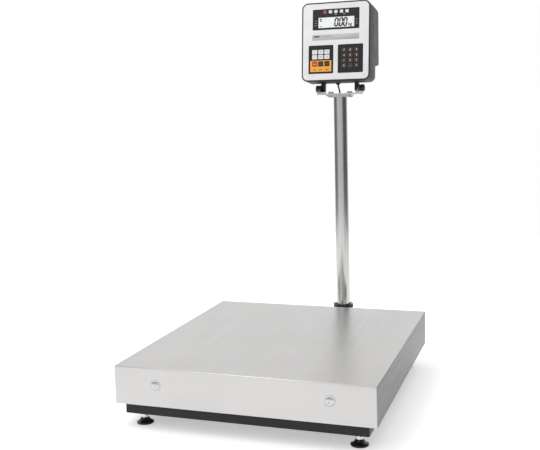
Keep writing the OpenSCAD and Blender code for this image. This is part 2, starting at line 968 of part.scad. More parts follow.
function key_u(pad, column) = pad[0] + (column - 1) * key_pitch;

// Bezel of a keypad: a thin plate with a hole for each of its keys
module keypad(pad, keys) {
    difference() {
        face_plate(bezel_front, bezel_back, pad[1], pad[0])
            rounded_rect(pad[2], pad[3], 2);
        for (key = keys)
            face_plate(bezel_front - NUDGE, bezel_back + NUDGE, key[1], key[0])
                rounded_rect(key[2] + 2 * key_gap, key[3] + 2 * key_gap, 1.2);
    }
}

// Each key: middle across, middle above the case's underside, width, height
function_key_places = [
    for (row = [0:1])
        for (column = [0:2])
            [key_u(pad_left, column), function_row_w[row], function_key_size.x, function_key_size.y]
];
action_key_places = [
    for (column = [0:2])
        [key_u(pad_left, column), action_row_w, action_key_size.x, action_key_size.y]
];
digit_key_places = [
    for (row = [0:3])
        for (column = [0:2])
            [key_u(pad_right, column), digit_row_w[row], digit_key_size.x, digit_key_size.y]
];
left_key_places = concat(function_key_places, action_key_places);

module keypad_left() color("#232225") in_head() {
    keypad(pad_left, left_key_places);
}

module keypad_right() color("#232225") in_head() {
    keypad(pad_right, digit_key_places);
}

// A key cap and the rim behind the bezel that keeps it in
module key(place) in_head() {
    face_plate(key_front, flange_front, place[1], place[0])
        rounded_rect(place[2], place[3], 1);
    face_plate(flange_front, flange_back, place[1], place[0])
        rounded_rect(place[2] + 2, place[3] + 2, 1);
}

// Circuit board on four posts from the case's ledge, with a switch behind each key
module main_board() color("#2f6b3c") in_head() {
    face_plate(board_front, board_back, case_h / 2)
        square([150, 196], center = true);
    for (place = concat(left_key_places, digit_key_places))
        face_plate(switch_front, board_front, place[1], place[0])
            circle(r = 3);
    for (u = [-50, 50])
        face_plate(board_back, board_back + 12, 150, u)
            square([24, 30], center = true);
    face_plate(board_back, board_back + 9, 60)
        square([60, 40], center = true);
    for (u = [-82, 82])
        for (w = [60, 155])
            face_plate(ledge_back - 0.4, board_back + 0.9, w, u * 0.97)
                square([16, 10], center = true);
}

// Cable grommet in the case's underside, and two capped sockets on the underside of the rear ledge
module case_connectors() color("#1b1b1c") in_head() {
    translate([grommet_u, grommet_v, case_low])
        difference() {
            union() {
                translate([0, 0, -grommet_h])
                    cylinder(h = grommet_h, r = 6);
                cylinder(h = grommet_top, r = 4.9);
            }
            translate([0, 0, -grommet_h - NUDGE])
                cylinder(h = grommet_h + grommet_top + 2 * NUDGE, r = cable_r + 0.3);
        }
    for (side = [-1, 1])
        translate([side * socket_at.x, socket_at.y, socket_at.z])
            cylinder(h = 19, r = 7.9);
}

// Hand knob with six flutes and a threaded stud along the tilt axis
module tilt_knob() {
    grip_from = ear_in + ear_t + 0.4;
    rotate([0, 90, 0]) {
        translate([0, 0, lug_in + 4])
            cylinder(h = grip_from - lug_in - 4, r = pivot_r);
        difference() {
            translate([0, 0, grip_from])
                cylinder(h = 13, r = 10);
            for (turn = [0:60:300])
                rotate([0, 0, turn])
                    translate([12, 0, grip_from + 3])
                        cylinder(h = 12, r = 3.4);
        }
    }
}

module tilt_knob_right() color(RUBBER) in_head() {
    tilt_knob();
}

module tilt_knob_left() color(RUBBER) in_head() {
    rotate([0, 0, 180])
        tilt_knob();
}

// ---- Nodes ----

base_frame();
foot_nuts();
overload_stops();
load_cell();
load_cell_bolts();
column_bracket();
spirit_level();
column();
column_collar();
column_bolts();
head_bracket();
head_bracket_bolts();
load_cell_cable();
weighing_pan();
pan_frame();
pan_pads();
pan_screws();
pan_frame_bolts();
rear_case();
front_panel();
case_gasket();
panel_screws();
display_window();
lcd_module();
indicator_lamps();
keypad_left();
keypad_right();
main_board();
case_connectors();
tilt_knob_left();
tilt_knob_right();
for (i = [0:3])
    foot_pad(foot_places[i]);
for (i = [0:3])
    foot_stud(foot_places[i]);
for (i = [0:5])
    color("#f4f4f4") key(function_key_places[i]);
for (i = [0:2])
    color(action_colours[i]) key(action_key_places[i]);
for (i = [0:11])
    color("#2a2523") key(digit_key_places[i]);
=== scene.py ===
"""Looks of the animal weighing scale: pan on four feet, column, and a tilting keypad indicator."""

import json
import math

import bmesh
import bpy
from mathutils import Matrix, Vector


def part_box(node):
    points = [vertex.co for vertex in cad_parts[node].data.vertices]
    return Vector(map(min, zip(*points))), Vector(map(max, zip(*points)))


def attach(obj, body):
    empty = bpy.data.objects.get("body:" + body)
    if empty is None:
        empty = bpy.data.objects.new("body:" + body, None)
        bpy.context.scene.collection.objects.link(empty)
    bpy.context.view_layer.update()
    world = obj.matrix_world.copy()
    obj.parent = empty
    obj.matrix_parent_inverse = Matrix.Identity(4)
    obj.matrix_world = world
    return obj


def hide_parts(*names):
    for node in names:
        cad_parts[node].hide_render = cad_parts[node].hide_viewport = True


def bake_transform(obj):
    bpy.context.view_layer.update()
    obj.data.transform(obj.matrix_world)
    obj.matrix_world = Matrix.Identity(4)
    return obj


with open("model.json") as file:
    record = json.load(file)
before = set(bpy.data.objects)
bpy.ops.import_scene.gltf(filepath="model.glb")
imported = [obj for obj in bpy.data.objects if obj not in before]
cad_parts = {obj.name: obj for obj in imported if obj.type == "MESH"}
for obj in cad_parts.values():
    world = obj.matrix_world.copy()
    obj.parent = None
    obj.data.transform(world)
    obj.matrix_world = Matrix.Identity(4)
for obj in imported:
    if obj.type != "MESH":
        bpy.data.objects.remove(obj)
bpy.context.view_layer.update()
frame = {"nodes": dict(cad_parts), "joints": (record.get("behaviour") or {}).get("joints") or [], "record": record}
NODES = frame["nodes"]
MM = 0.001
FEET = ("front_left", "front_right", "rear_left", "rear_right")


# ---- Camera, light and floor ----


def make_camera():
    """Stands at the front right, a little above the pan, turned left and slightly down."""
    yaw, pitch, roll = math.radians(-19.04), math.radians(7.928), math.radians(1.541)
    forward = Vector((math.sin(yaw) * math.cos(pitch), math.cos(yaw) * math.cos(pitch), -math.sin(pitch)))
    level = Vector((math.cos(yaw), -math.sin(yaw), 0))
    below = forward.cross(level)
    right = math.cos(roll) * level + math.sin(roll) * below
    down = -math.sin(roll) * level + math.cos(roll) * below
    turn = Matrix((right, -down, -forward)).transposed().to_4x4()
    data = bpy.data.cameras.new("camera")
    data.lens = 56.0
    data.sensor_width = 36.0
    camera = bpy.data.objects.new("camera", data)
    camera.matrix_world = Matrix.Translation((0.6369, -2.0020, 0.7098)) @ turn
    bpy.context.scene.collection.objects.link(camera)
    bpy.context.scene.camera = camera


# Axis of view, where its light begins to fall, where it has fallen, and the share left there
STUDIO_SIDES = (("X", 0.5, 0.92, 0.14), ("X", -0.65, -0.95, 0.26), ("Y", 0.35, -0.6, 0.68))


def make_world():
    """A pale studio: brightest behind the object, softer in front of it, and dim at its two sides."""
    world = bpy.data.worlds.new("studio")
    world.use_nodes = True
    bpy.context.scene.world = world
    nodes, links = world.node_tree.nodes, world.node_tree.links
    direction = nodes.new("ShaderNodeTexCoord")
    split = nodes.new("ShaderNodeSeparateXYZ")
    links.new(direction.outputs["Generated"], split.inputs[0])
    strength = None
    for axis, low, high, dim in STUDIO_SIDES:
        side = nodes.new("ShaderNodeMapRange")
        side.interpolation_type = "SMOOTHSTEP"
        side.inputs["From Min"].default_value = low
        side.inputs["From Max"].default_value = high
        side.inputs["To Min"].default_value = 1.0
        side.inputs["To Max"].default_value = dim
        links.new(split.outputs[axis], side.inputs["Value"])
        if strength is None:
            strength = side.outputs[0]
        else:
            product = nodes.new("ShaderNodeMath")
            product.operation = "MULTIPLY"
            links.new(strength, product.inputs[0])
            links.new(side.outputs[0], product.inputs[1])
            strength = product.outputs[0]
    background = nodes["Background"]
    links.new(strength, background.inputs["Strength"])
    background.inputs["Color"].default_value = (1.0, 1.0, 1.0, 1.0)


def softbox(name, place, aim, size, power):
    """A rectangular lamp at place, turned towards aim."""
    data = bpy.data.lights.new(name, "AREA")
    data.shape = "RECTANGLE"
    data.size, data.size_y = size
    data.energy = power
    light = bpy.data.objects.new(name, data)
    look = (Vector(aim) - Vector(place)).to_track_quat("-Z", "Y")
    light.matrix_world = Matrix.Translation(place) @ look.to_matrix().to_4x4()
    bpy.context.scene.collection.objects.link(light)


def make_floor():
    """A wide white disc under the feet."""
    bm = bmesh.new()
    bmesh.ops.create_circle(bm, cap_ends=True, segments=96, radius=2.6)
    mesh = bpy.data.meshes.new("floor")
    bm.to_mesh(mesh)
    bm.free()
    floor = bpy.data.objects.new("floor", mesh)
    bpy.context.scene.collection.objects.link(floor)
    floor.data.materials.append(MATERIALS["floor"])


# ---- Materials ----


class Surface:
    """A principled material while its nodes are being joined."""

    def __init__(self, name, roughness, metallic=0.0, specular=0.5, coat=0.0, coat_roughness=0.1):
        self.material = bpy.data.materials.new(name)
        self.material.use_nodes = True
        self.nodes = self.material.node_tree.nodes
        self.links = self.material.node_tree.links
        self.shader = self.nodes["Principled BSDF"]
        self.set(Roughness=roughness, Metallic=metallic)
        self.shader.inputs["Specular IOR Level"].default_value = specular
        self.shader.inputs["Coat Weight"].default_value = coat
        self.shader.inputs["Coat Roughness"].default_value = coat_roughness
        self.place = self.nodes.new("ShaderNodeTexCoord").outputs["Object"]
        self.normal = None

    def set(self, **values):
        for socket, value in values.items():
            self.shader.inputs[socket].default_value = value

    def noise(self, size, stretch=(1, 1, 1), detail=3.0, rough=0.5):
        """Noise whose features are about size metres across; stretch lengthens them along an axis."""
        mapping = self.nodes.new("ShaderNodeMapping")
        mapping.inputs["Scale"].default_value = [1 / (size * s) for s in stretch]
        self.links.new(self.place, mapping.inputs["Vector"])
        texture = self.nodes.new("ShaderNodeTexNoise")
        texture.inputs["Scale"].default_value = 1.0
        texture.inputs["Detail"].default_value = detail
        texture.inputs["Roughness"].default_value = rough
        self.links.new(mapping.outputs[0], texture.inputs["Vector"])
        return texture.outputs["Fac"]

    def grains(self, size):
        """Rounded grains, as a moulding tool's texture leaves them."""
        texture = self.nodes.new("ShaderNodeTexVoronoi")
        texture.feature = "SMOOTH_F1"
        texture.inputs["Scale"].default_value = 1 / size
        self.links.new(self.place, texture.inputs["Vector"])
        return texture.outputs["Distance"]

    def painted_side_shade_mask(self):
        """Painted shade mask: one on faces that look left or right, and zero on others."""
        geometry = self.nodes.new("ShaderNodeNewGeometry")
        split = self.nodes.new("ShaderNodeSeparateXYZ")
        self.links.new(geometry.outputs["True Normal"], split.inputs[0])
        size = self.nodes.new("ShaderNodeMath")
        size.operation = "ABSOLUTE"
        self.links.new(split.outputs["X"], size.inputs[0])
        return self.ranged(size.outputs[0], 0.0, 1.0, 0.5, 0.95)

    def ranged(self, value, low, high, start=0.3, end=0.7):
        node = self.nodes.new("ShaderNodeMapRange")
        node.inputs["From Min"].default_value = start
        node.inputs["From Max"].default_value = end
        node.inputs["To Min"].default_value = low
        node.inputs["To Max"].default_value = high
        self.links.new(value, node.inputs["Value"])
        return node.outputs[0]

    def mixed(self, factor, first, second):
        """A blend of two colours; each is a tuple or another blend."""
        node = self.nodes.new("ShaderNodeMix")
        node.data_type = "RGBA"
        for socket, colour in ((node.inputs[6], first), (node.inputs[7], second)):
            if isinstance(colour, tuple):
                socket.default_value = (*colour, 1.0)
            else:
                self.links.new(colour, socket)
        self.links.new(factor, node.inputs[0])
        return node.outputs[2]

    def drift(self, value, colour, dark, light):
        """Lets the colour drift with value, between a darker and a lighter shade of itself."""
        self.colour(self.mixed(self.ranged(value, 0, 1), shade(colour, dark), shade(colour, light)))

    def colour(self, value):
        if isinstance(value, tuple):
            self.shader.inputs["Base Color"].default_value = (*value, 1.0)
        else:
            self.links.new(value, self.shader.inputs["Base Color"])

    def roughness(self, value, low, high):
        self.links.new(self.ranged(value, low, high), self.shader.inputs["Roughness"])

    def bump(self, height, depth, strength=1.0):
        node = self.nodes.new("ShaderNodeBump")
        node.inputs["Strength"].default_value = strength
        node.inputs["Distance"].default_value = depth
        self.links.new(height, node.inputs["Height"])
        if self.normal is not None:
            self.links.new(self.normal, node.inputs["Normal"])
        self.normal = node.outputs[0]
        self.links.new(self.normal, self.shader.inputs["Normal"])


def shade(colour, amount):
    return tuple(min(1.0, max(0.0, c * amount)) for c in colour)


def brushed(name, colour, grain, rough=(0.3, 0.42), metallic=1.0, depth=0.00002, cloud=0.05, side=1.0):
    """Brushed metal: fine lines along the grain axis, long faint streaks, and broad soft clouds; a side below one
    adds painted shade, darkening faces that look left or right to that share of the colour.
    """
    line = 0.05
    surface = Surface(name, rough[0], metallic)
    fine = [1.0, 1.0, 1.0]
    fine[grain] = 90.0
    long = [1.0, 1.0, 1.0]
    long[grain] = 40.0
    lines = surface.noise(0.0007, fine, detail=4, rough=0.7)
    streaks = surface.noise(0.006, long, detail=3)
    clouds = surface.noise(0.16, detail=2)
    base = surface.mixed(surface.ranged(lines, 0, 1), shade(colour, 1 - line), shade(colour, 1 + line))
    light = surface.mixed(surface.ranged(clouds, 0, 1), shade(colour, 1 - cloud), shade(colour, 1 + cloud))
    tone = surface.mixed(surface.ranged(streaks, 0.3, 0.7), base, light)
    # Painted shade: faces that look left or right are darkened towards side times the colour.
    if side < 1.0:
        tone = surface.mixed(surface.painted_side_shade_mask(), tone, shade(colour, side))
    surface.colour(tone)
    surface.roughness(streaks, *rough)
    surface.bump(lines, depth)
    return surface.material


def plated(name, colour, rough=(0.16, 0.3), cloud=0.08):
    """Plated or polished steel with a faint haze, and tiny handling marks."""
    surface = Surface(name, rough[0], 1.0)
    haze = surface.noise(0.004, detail=4)
    marks = surface.noise(0.0006, (1, 1, 6), detail=2)
    surface.drift(haze, colour, 1 - cloud, 1 + cloud)
    surface.roughness(haze, *rough)
    surface.bump(marks, 0.00001)
    return surface.material


def moulded(name, colour, rough=(0.42, 0.55), grain=0.0009, depth=0.00004, dust=0.12, specular=0.45):
    """Moulded plastic: a fine pebble texture, with slight changes of tone where hands have polished it."""
    surface = Surface(name, rough[0], specular=specular)
    pebbles = surface.grains(grain)
    tone = surface.noise(0.03, detail=4)
    surface.drift(tone, colour, 1 - dust, 1 + dust)
    surface.roughness(tone, *rough)
    surface.bump(pebbles, depth)
    return surface.material


def powder_coat(name, colour, rough=(0.3, 0.42)):
    """Sprayed and baked paint: orange peel, a little dust in the flats, and small bright chips."""
    surface = Surface(name, rough[0], specular=0.28)
    peel = surface.noise(0.0022, detail=2)
    dust = surface.noise(0.05, detail=5)
    chips = surface.noise(0.0035, detail=1)
    base = surface.mixed(surface.ranged(dust, 0, 1), shade(colour, 0.85), shade(colour, 1.25))
    surface.colour(surface.mixed(surface.ranged(chips, 0, 1, 0.8, 0.83), base, (0.07, 0.068, 0.066)))
    surface.roughness(dust, *rough)
    surface.bump(peel, 0.00006)
    return surface.material


def rubber(name, colour, rough=(0.5, 0.7), coat=0.0):
    """Rubber: matt with a faint bloom, and very small pits."""
    surface = Surface(name, rough[0], specular=0.35, coat=coat)
    bloom = surface.noise(0.012, detail=5)
    pits = surface.noise(0.0007, detail=2)
    surface.colour(surface.mixed(surface.ranged(bloom, 0, 1), colour, shade(colour, 1.7)))
    surface.roughness(bloom, *rough)
    surface.bump(pits, 0.00003)
    return surface.material


def pearl_lacquer(name, colour, flake_colour):
    """Silver lacquer: flakes too small to count, under a clear coat."""
    surface = Surface(name, 0.35, metallic=0.25, coat=0.4, coat_roughness=0.18)
    flakes = surface.noise(0.00035, detail=1)
    drift = surface.noise(0.05, detail=2)
    base = surface.mixed(surface.ranged(flakes, 0, 1, 0.35, 0.65), colour, flake_colour)
    surface.colour(surface.mixed(surface.ranged(drift, 0, 0.35), base, shade(colour, 0.94)))
    surface.roughness(drift, 0.3, 0.42)
    surface.bump(flakes, 0.000008)
    return surface.material


def lens(name, colour, rough=(0.12, 0.2)):
    """A diffusing lens or cover: a fine prism texture under a smooth face."""
    surface = Surface(name, rough[0], specular=0.6, coat=0.5, coat_roughness=0.08)
    cells = surface.grains(0.0011)
    wash = surface.noise(0.006, detail=2)
    surface.drift(wash, colour, 0.93, 1.05)
    surface.roughness(wash, *rough)
    surface.bump(cells, 0.00002, 0.5)
    return surface.material


def print_ink(name, colour, rough=0.5):
    """Screen print: slightly uneven ink, with soft edges of tone."""
    surface = Surface(name, rough, specular=0.3)
    screen = surface.noise(0.0008, detail=2)
    surface.drift(screen, colour, 0.9, 1.08)
    surface.roughness(screen, rough - 0.06, rough + 0.08)
    surface.bump(screen, 0.000006)
    return surface.material


def board_green(name):
    """Solder mask over copper: darker tracks run under the green."""
    surface = Surface(name, 0.3, specular=0.5, coat=0.3)
    tracks = surface.noise(0.0016, (6, 1, 1), detail=1)
    edge = surface.ranged(tracks, 0, 1, 0.48, 0.52)
    surface.colour(surface.mixed(edge, (0.012, 0.09, 0.03), (0.02, 0.16, 0.05)))
    surface.roughness(tracks, 0.25, 0.38)
    surface.bump(tracks, 0.00003)
    return surface.material


def weld_metal(name, colour):
    """A ground or brushed weld: duller than the sheet, with small heat tints."""
    surface = Surface(name, 0.45, 1.0)
    tint = surface.noise(0.003, detail=3)
    surface.colour(surface.mixed(surface.ranged(tint, 0, 1), shade(colour, 0.82), (0.62, 0.56, 0.48)))
    surface.roughness(tint, 0.38, 0.55)
    surface.bump(tint, 0.00005)
    return surface.material


def floor_paper(name):
    """White paper with a fine fibre and a slight glow of its own."""
    surface = Surface(name, 0.9, specular=0.1)
    fibre = surface.noise(0.004, detail=3)
    surface.colour(surface.mixed(surface.ranged(fibre, 0, 1), (0.9, 0.9, 0.9), (0.92, 0.92, 0.92)))
    surface.roughness(fibre, 0.85, 0.95)
    surface.bump(fibre, 0.00003, 0.3)
    surface.shader.inputs["Emission Color"].default_value = (1.0, 1.0, 1.0, 1.0)
    surface.shader.inputs["Emission Strength"].default_value = 0.42
    return surface.material


STAINLESS = (0.585, 0.577, 0.572)
BLACK = (0.013, 0.0115, 0.015)
MATERIALS = {
    "floor": floor_paper("floor"),
    # The sheet's side faces get painted shade, darkened to 0.24 of its colour.
    "stainless_sheet": brushed("stainless_sheet", STAINLESS, 1, (0.3, 0.4), 0.9, side=0.24),
    "stainless_tube": brushed("stainless_tube", (0.57, 0.568, 0.56), 2, (0.16, 0.24), cloud=0.03),
    "bracket_steel": brushed("bracket_steel", (0.5, 0.5, 0.49), 0, (0.3, 0.42), 0.85),
    "cell_alloy": brushed("cell_alloy", (0.62, 0.63, 0.65), 1, (0.3, 0.42), depth=0.00003),
    "zinc_steel": plated("zinc_steel", (0.55, 0.54, 0.5), (0.24, 0.4)),
    "bright_screw": plated("bright_screw", (0.58, 0.58, 0.58), (0.1, 0.2)),
    "foot_steel": plated("foot_steel", (0.72, 0.72, 0.72), (0.08, 0.18)),
    "frame_paint": powder_coat("frame_paint", BLACK),
    "case_plastic": moulded("case_plastic", (0.024, 0.024, 0.0255), (0.42, 0.52), specular=0.3),
    "keypad_black": moulded(
        "keypad_black", (0.014, 0.014, 0.015), (0.35, 0.45), 0.0005, 0.00002, specular=0.25
    ),
    "connector_black": moulded("connector_black", (0.02, 0.02, 0.021)),
    "knob_plastic": moulded("knob_plastic", (0.012, 0.012, 0.012), (0.3, 0.42), grain=0.0006),
    "black_key": moulded("black_key", (0.02, 0.016, 0.014), (0.35, 0.45), grain=0.0004, depth=0.00001),
    "digit_key": moulded("digit_key", (0.026, 0.02, 0.018), (0.38, 0.48), grain=0.0004, depth=0.00001),
    "white_key": moulded("white_key", (0.78, 0.78, 0.77), (0.35, 0.45), 0.0004, 0.00001, dust=0.03),
    "red_key": moulded("red_key", (0.62, 0.045, 0.035), (0.35, 0.45), grain=0.0004, depth=0.00001),
    "black_rubber": rubber("black_rubber", (0.018, 0.018, 0.018)),
    "cable_sheath": rubber("cable_sheath", (0.012, 0.012, 0.012), (0.45, 0.6)),
    "foot_plastic": rubber("foot_plastic", (0.008, 0.008, 0.008), (0.16, 0.3), coat=0.6),
    "silver_panel": pearl_lacquer("silver_panel", (0.69, 0.692, 0.7), (0.78, 0.78, 0.785)),
    "silver_strip": pearl_lacquer("silver_strip", (0.42, 0.42, 0.435), (0.5, 0.5, 0.51)),
    "window_black": moulded(
        "window_black", (0.012, 0.012, 0.015), (0.2, 0.3), 0.0005, 0.000004, specular=0.25
    ),
    "lcd_white": lens("lcd_white", (0.84, 0.86, 0.85), (0.25, 0.35)),
    "lamp_white": lens("lamp_white", (0.6, 0.6, 0.59)),
    "lamp_red": lens("lamp_red", (0.3, 0.008, 0.01)),
    "circuit_board": board_green("circuit_board"),
    "level_vial": lens("level_vial", (0.42, 0.62, 0.1)),
    "lcd_ink": print_ink("lcd_ink", (0.012, 0.012, 0.014)),
    "orange_ink": print_ink("orange_ink", (0.9, 0.4, 0.05)),
    "grey_ink": print_ink("grey_ink", (0.3, 0.3, 0.31)),
    "pale_ink": print_ink("pale_ink", (0.62, 0.6, 0.56)),
    "brown_ink": print_ink("brown_ink", (0.17, 0.075, 0.05)),
    "dark_ink": print_ink("dark_ink", (0.05, 0.045, 0.045)),
    "weld_bead": weld_metal("weld_bead", (0.6, 0.6, 0.6)),
}


# ---- Mesh building ----


def add_object(name, bm, material, matrix=None, smooth=40.0):
    """Turns a bmesh into an object, with sharp edges where faces meet at more than smooth degrees."""
    bmesh.ops.recalc_face_normals(bm, faces=bm.faces)
    mesh = bpy.data.meshes.new(name)
    bm.to_mesh(mesh)
    bm.free()
    mesh.polygons.foreach_set("use_smooth", [True] * len(mesh.polygons))
    mesh.set_sharp_from_angle(angle=math.radians(smooth))
    mesh.materials.append(MATERIALS[material])
    made = bpy.data.objects.new(name, mesh)
    bpy.context.scene.collection.objects.link(made)
    if matrix is not None:
        made.matrix_world = matrix
    return made


def finished(made, body, slot, *nodes):
    """Rides on its body and stands for any CAD nodes named; slot is not used."""
    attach(made, body)
    if nodes:
        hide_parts(*nodes)
    return made


def skin_rings(bm, rings, around=False):
    """Joins rings of equal count with quads, then caps both ends, or joins last to first if around."""
    loops = [[bm.verts.new(p) for p in ring] for ring in rings]
    count = len(loops[0])
    for near, far in zip(loops, loops[1:] + (loops[:1] if around else [])):
        for i in range(count):
            j = (i + 1) % count
            bm.faces.new((near[i], near[j], far[j], far[i]))
    if not around:
        bm.faces.new(list(reversed(loops[0])))
        bm.faces.new(loops[-1])


def polar(radius, turn, z, centre=(0.0, 0.0)):
    """The point at this radius and angle about centre, at height z."""
    return centre[0] + radius * math.cos(turn), centre[1] + radius * math.sin(turn), z


def circle_points(radius, z, sides, centre=(0.0, 0.0)):
    return [polar(radius, math.tau * k / sides, z, centre) for k in range(sides)]


def hoop(radius, sides, z=0.0, centre=(0.0, 0.0)):
    """Points round a circle that end where they start, for a tube bent into a ring."""
    points = circle_points(radius, z, sides, centre)
    return points + points[:1]


def in_metres(points):
    return [tuple(value * MM for value in point) for point in points]


def turned(degrees, axis="Z"):
    return Matrix.Rotation(math.radians(degrees), 4, axis)


def rounded_rect(w, h, r, z, steps=5):
    """Points round a rectangle with round corners, at height z."""
    r = max(r, 1e-5)
    points = []
    for corner in range(4):
        angle = math.pi / 2 * corner
        cx = (w / 2 - r) * (1 if corner in (0, 3) else -1)
        cy = (h / 2 - r) * (1 if corner in (0, 1) else -1)
        for k in range(steps + 1):
            turn = angle + math.pi / 2 * k / steps
            points.append((cx + r * math.cos(turn), cy + r * math.sin(turn), z))
    return points


def lathe(bm, profile, sides=48, centre=(0.0, 0.0), around=False):
    """Turns a list of (radius, height) about the z axis; every radius is above zero."""
    skin_rings(bm, [circle_points(r, z, sides, centre) for r, z in profile], around)


def rounded(r_out, z_low, z_high, edge, steps=3):
    """Profile of a disc whose two rims are rounded by edge."""
    low = [(r_out - edge + edge * math.sin(a), z_low + edge - edge * math.cos(a)) for a in quarter(steps)]
    high = [(r_out - edge + edge * math.cos(a), z_high - edge + edge * math.sin(a)) for a in quarter(steps)]
    return low + high


def quarter(steps):
    return [math.pi / 2 * k / steps for k in range(steps + 1)]


def block(bm, w, h, r, z_low, z_high, edge, dish=0.0, steps=5):
    """A plate with round corners and a rounded front edge; dish hollows its face a little."""
    rings = [rounded_rect(w, h, r, z_low, steps)]
    for a in quarter(3):
        inset = edge - edge * math.cos(a)
        z = z_high - edge + edge * math.sin(a)
        rings.append(rounded_rect(w - 2 * inset, h - 2 * inset, r - inset, z, steps))
    if dish:
        for share, drop in ((0.12, 0.25), (0.24, 0.7), (0.36, 1.0)):
            inset = min(w, h) * share
            rings.append(rounded_rect(w - 2 * inset, h - 2 * inset, r, z_high - dish * drop, steps))
    skin_rings(bm, rings)


def tube(bm, points, radius, sides=12, radius_at=None):
    """A round tube along points; radius_at(i) may change its radius."""
    points = [Vector(p) for p in points]
    last = len(points) - 1
    side = Vector((1, 0, 0))
    rings = []
    for i, point in enumerate(points):
        ahead = (points[min(i + 1, last)] - points[max(i - 1, 0)]).normalized()
        side = (side - side.dot(ahead) * ahead).normalized()
        other = ahead.cross(side)
        r = radius if radius_at is None else radius * radius_at(i)
        turns = [math.tau * k / sides for k in range(sides)]
        rings.append([point + r * (math.cos(turn) * side + math.sin(turn) * other) for turn in turns])
    skin_rings(bm, rings)


def softened(node, body, slot, width, segments=2):
    """The CAD node's own shape with its sharp edges rounded by width millimetres."""
    return finished(rounded_copy(node, slot, width, segments), body, slot, node)


def rounded_copy(node, slot, width, segments=2):
    bm = bmesh.new()
    bm.from_mesh(NODES[node].data)
    bmesh.ops.remove_doubles(bm, verts=bm.verts, dist=1e-6)
    bmesh.ops.dissolve_limit(bm, angle_limit=math.radians(0.6), verts=bm.verts, edges=bm.edges)
    sharp = [e for e in bm.edges if len(e.link_faces) == 2 and e.calc_face_angle(0) > math.radians(40)]
    offset = width * MM
    bmesh.ops.bevel(
        bm, geom=sharp, offset=offset, segments=segments, affect="EDGES", clamp_overlap=True, profile=0.5
    )
    bmesh.ops.dissolve_degenerate(bm, dist=1e-7, edges=bm.edges)
    return add_object(node + "_shell", bm, slot, smooth=20)


def lettering(name, text, height, material, matrix, body, slot, depth=0.12, bold=0.0):
    """A number or unit as a raised print, its middle at the matrix's origin; bold widens its strokes."""
    curve = bpy.data.curves.new(name, "FONT")
    curve.body = text
    curve.size = height * MM / 0.72
    curve.extrude = depth * MM / 2
    curve.offset = bold * MM
    curve.align_x = "CENTER"
    curve.align_y = "CENTER"
    curve.resolution_u = 3
    shape = bpy.data.objects.new(name + "_curve", curve)
    bpy.context.scene.collection.objects.link(shape)
    mesh = bpy.data.meshes.new_from_object(shape)
    bpy.data.objects.remove(shape)
    bm = bmesh.new()
    bm.from_mesh(mesh)
    bpy.data.meshes.remove(mesh)
    bmesh.ops.remove_doubles(bm, verts=bm.verts, dist=1e-6)
    return finished(add_object(name, bm, material, matrix), body, slot)


# ---- Places ----


def joint(name):
    return next(j for j in frame["joints"] if j["name"] == name)


PIVOT = Vector(joint("head_tilt")["pos_m"])
press = Vector(joint("digit_key_1_press")["axis"])
LEAN = math.atan2(-press.z, press.y)
HEAD = Matrix.Translation(PIVOT) @ Matrix.Rotation(-LEAN, 4, "X")
TO_HEAD = HEAD.inverted()


def head_box(node):
    """Lowest and highest corners of a node in the indicator's own tilted frame, in metres."""
    places = [TO_HEAD @ v.co for v in NODES[node].data.vertices]
    low = Vector([min(p[i] for p in places) for i in range(3)])
    high = Vector([max(p[i] for p in places) for i in range(3)])
    return low, high


def on_face(x, z, y):
    """Local x runs right across the face, local y up it, and local z out of it, from this point."""
    return HEAD @ Matrix(((1, 0, 0, x), (0, 0, -1, y), (0, 1, 0, z), (0, 0, 0, 1)))


def middle(low, high):
    return (low + high) / 2


# ---- Platform ----


def make_pan():
    """The folded sheet, and the welds that close its four corners."""
    softened("weighing_pan", "platform", "stainless_sheet", 0.3)
    low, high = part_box("weighing_pan")
    bend = 3 * MM
    inset = bend * 0.34
    steps = 44
    heights = [low.z + (high.z - bend - low.z) * k / steps for k in range(steps + 1)]
    bm = bmesh.new()
    for x in (low.x + inset, high.x - inset):
        for y in (low.y + inset, high.y - inset):
            tube(bm, [(x, y, z) for z in heights], 0.55 * MM, 8, lambda i: 1.0 + 0.12 * math.sin(2.1 * i))
    finished(add_object("pan_corner_welds", bm, "weld_bead"), "platform", "stainless_sheet")


def make_skirt_screws():
    """At each skirt screw a washer, a domed head with a cross recess, and two thin black rings of painted shade,
    round the head and round the washer's rim.
    """
    low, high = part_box("pan_screws")
    skirt_low, skirt_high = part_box("weighing_pan")
    washer_r = (high.z - low.z) / 2
    washer_top = 1.1 * MM
    head_r = 9.2 * MM
    rim_top = 1.5 * MM
    height = middle(low, high).z
    reach = high.x - washer_r
    proud = skirt_low.y - low.y
    dome = [(head_r, washer_top), (head_r, rim_top)]
    for k in range(1, 7):
        share = k / 7
        dome.append((head_r * math.sqrt(1 - share), rim_top + (proud - 1.6 * MM) * share))
    dome += [(r * MM, proud - deep * MM) for r, deep in ((4.4, 0.12), (3.9, 0.4), (0.2, 0.9))]
    bm = bmesh.new()
    shadow_rings = bmesh.new()
    for x in (-reach, reach):
        for y, sign in ((skirt_low.y, 1), (skirt_high.y, -1)):
            part = bmesh.new()
            lathe(part, rounded(washer_r, 0.02 * MM, washer_top, 0.4 * MM), 48)
            lathe(part, dome, 40)
            cross_walls(part, proud)
            place = Matrix.Translation((x, y, height)) @ turned(90 * sign, "X")
            merge(bm, part, place @ Matrix.Rotation(0.4 + x, 4, "Z"))
            # Painted shade: thin black rings where the head meets the washer and round the washer's rim.
            for ring_r, ring_z in ((head_r + 0.3 * MM, 1.2 * MM), (washer_r - 0.35 * MM, 0.35 * MM)):
                shadow_ring = bmesh.new()
                tube(shadow_ring, circle_points(ring_r, ring_z, 49), 0.42 * MM, 8)
                merge(shadow_rings, shadow_ring, place)
    finished(add_object("screw_shadow_rings", shadow_rings, "black_rubber"), "platform", "black_rubber")
    finished(add_object("skirt_screws", bm, "bright_screw"), "platform", "bright_screw", "pan_screws")


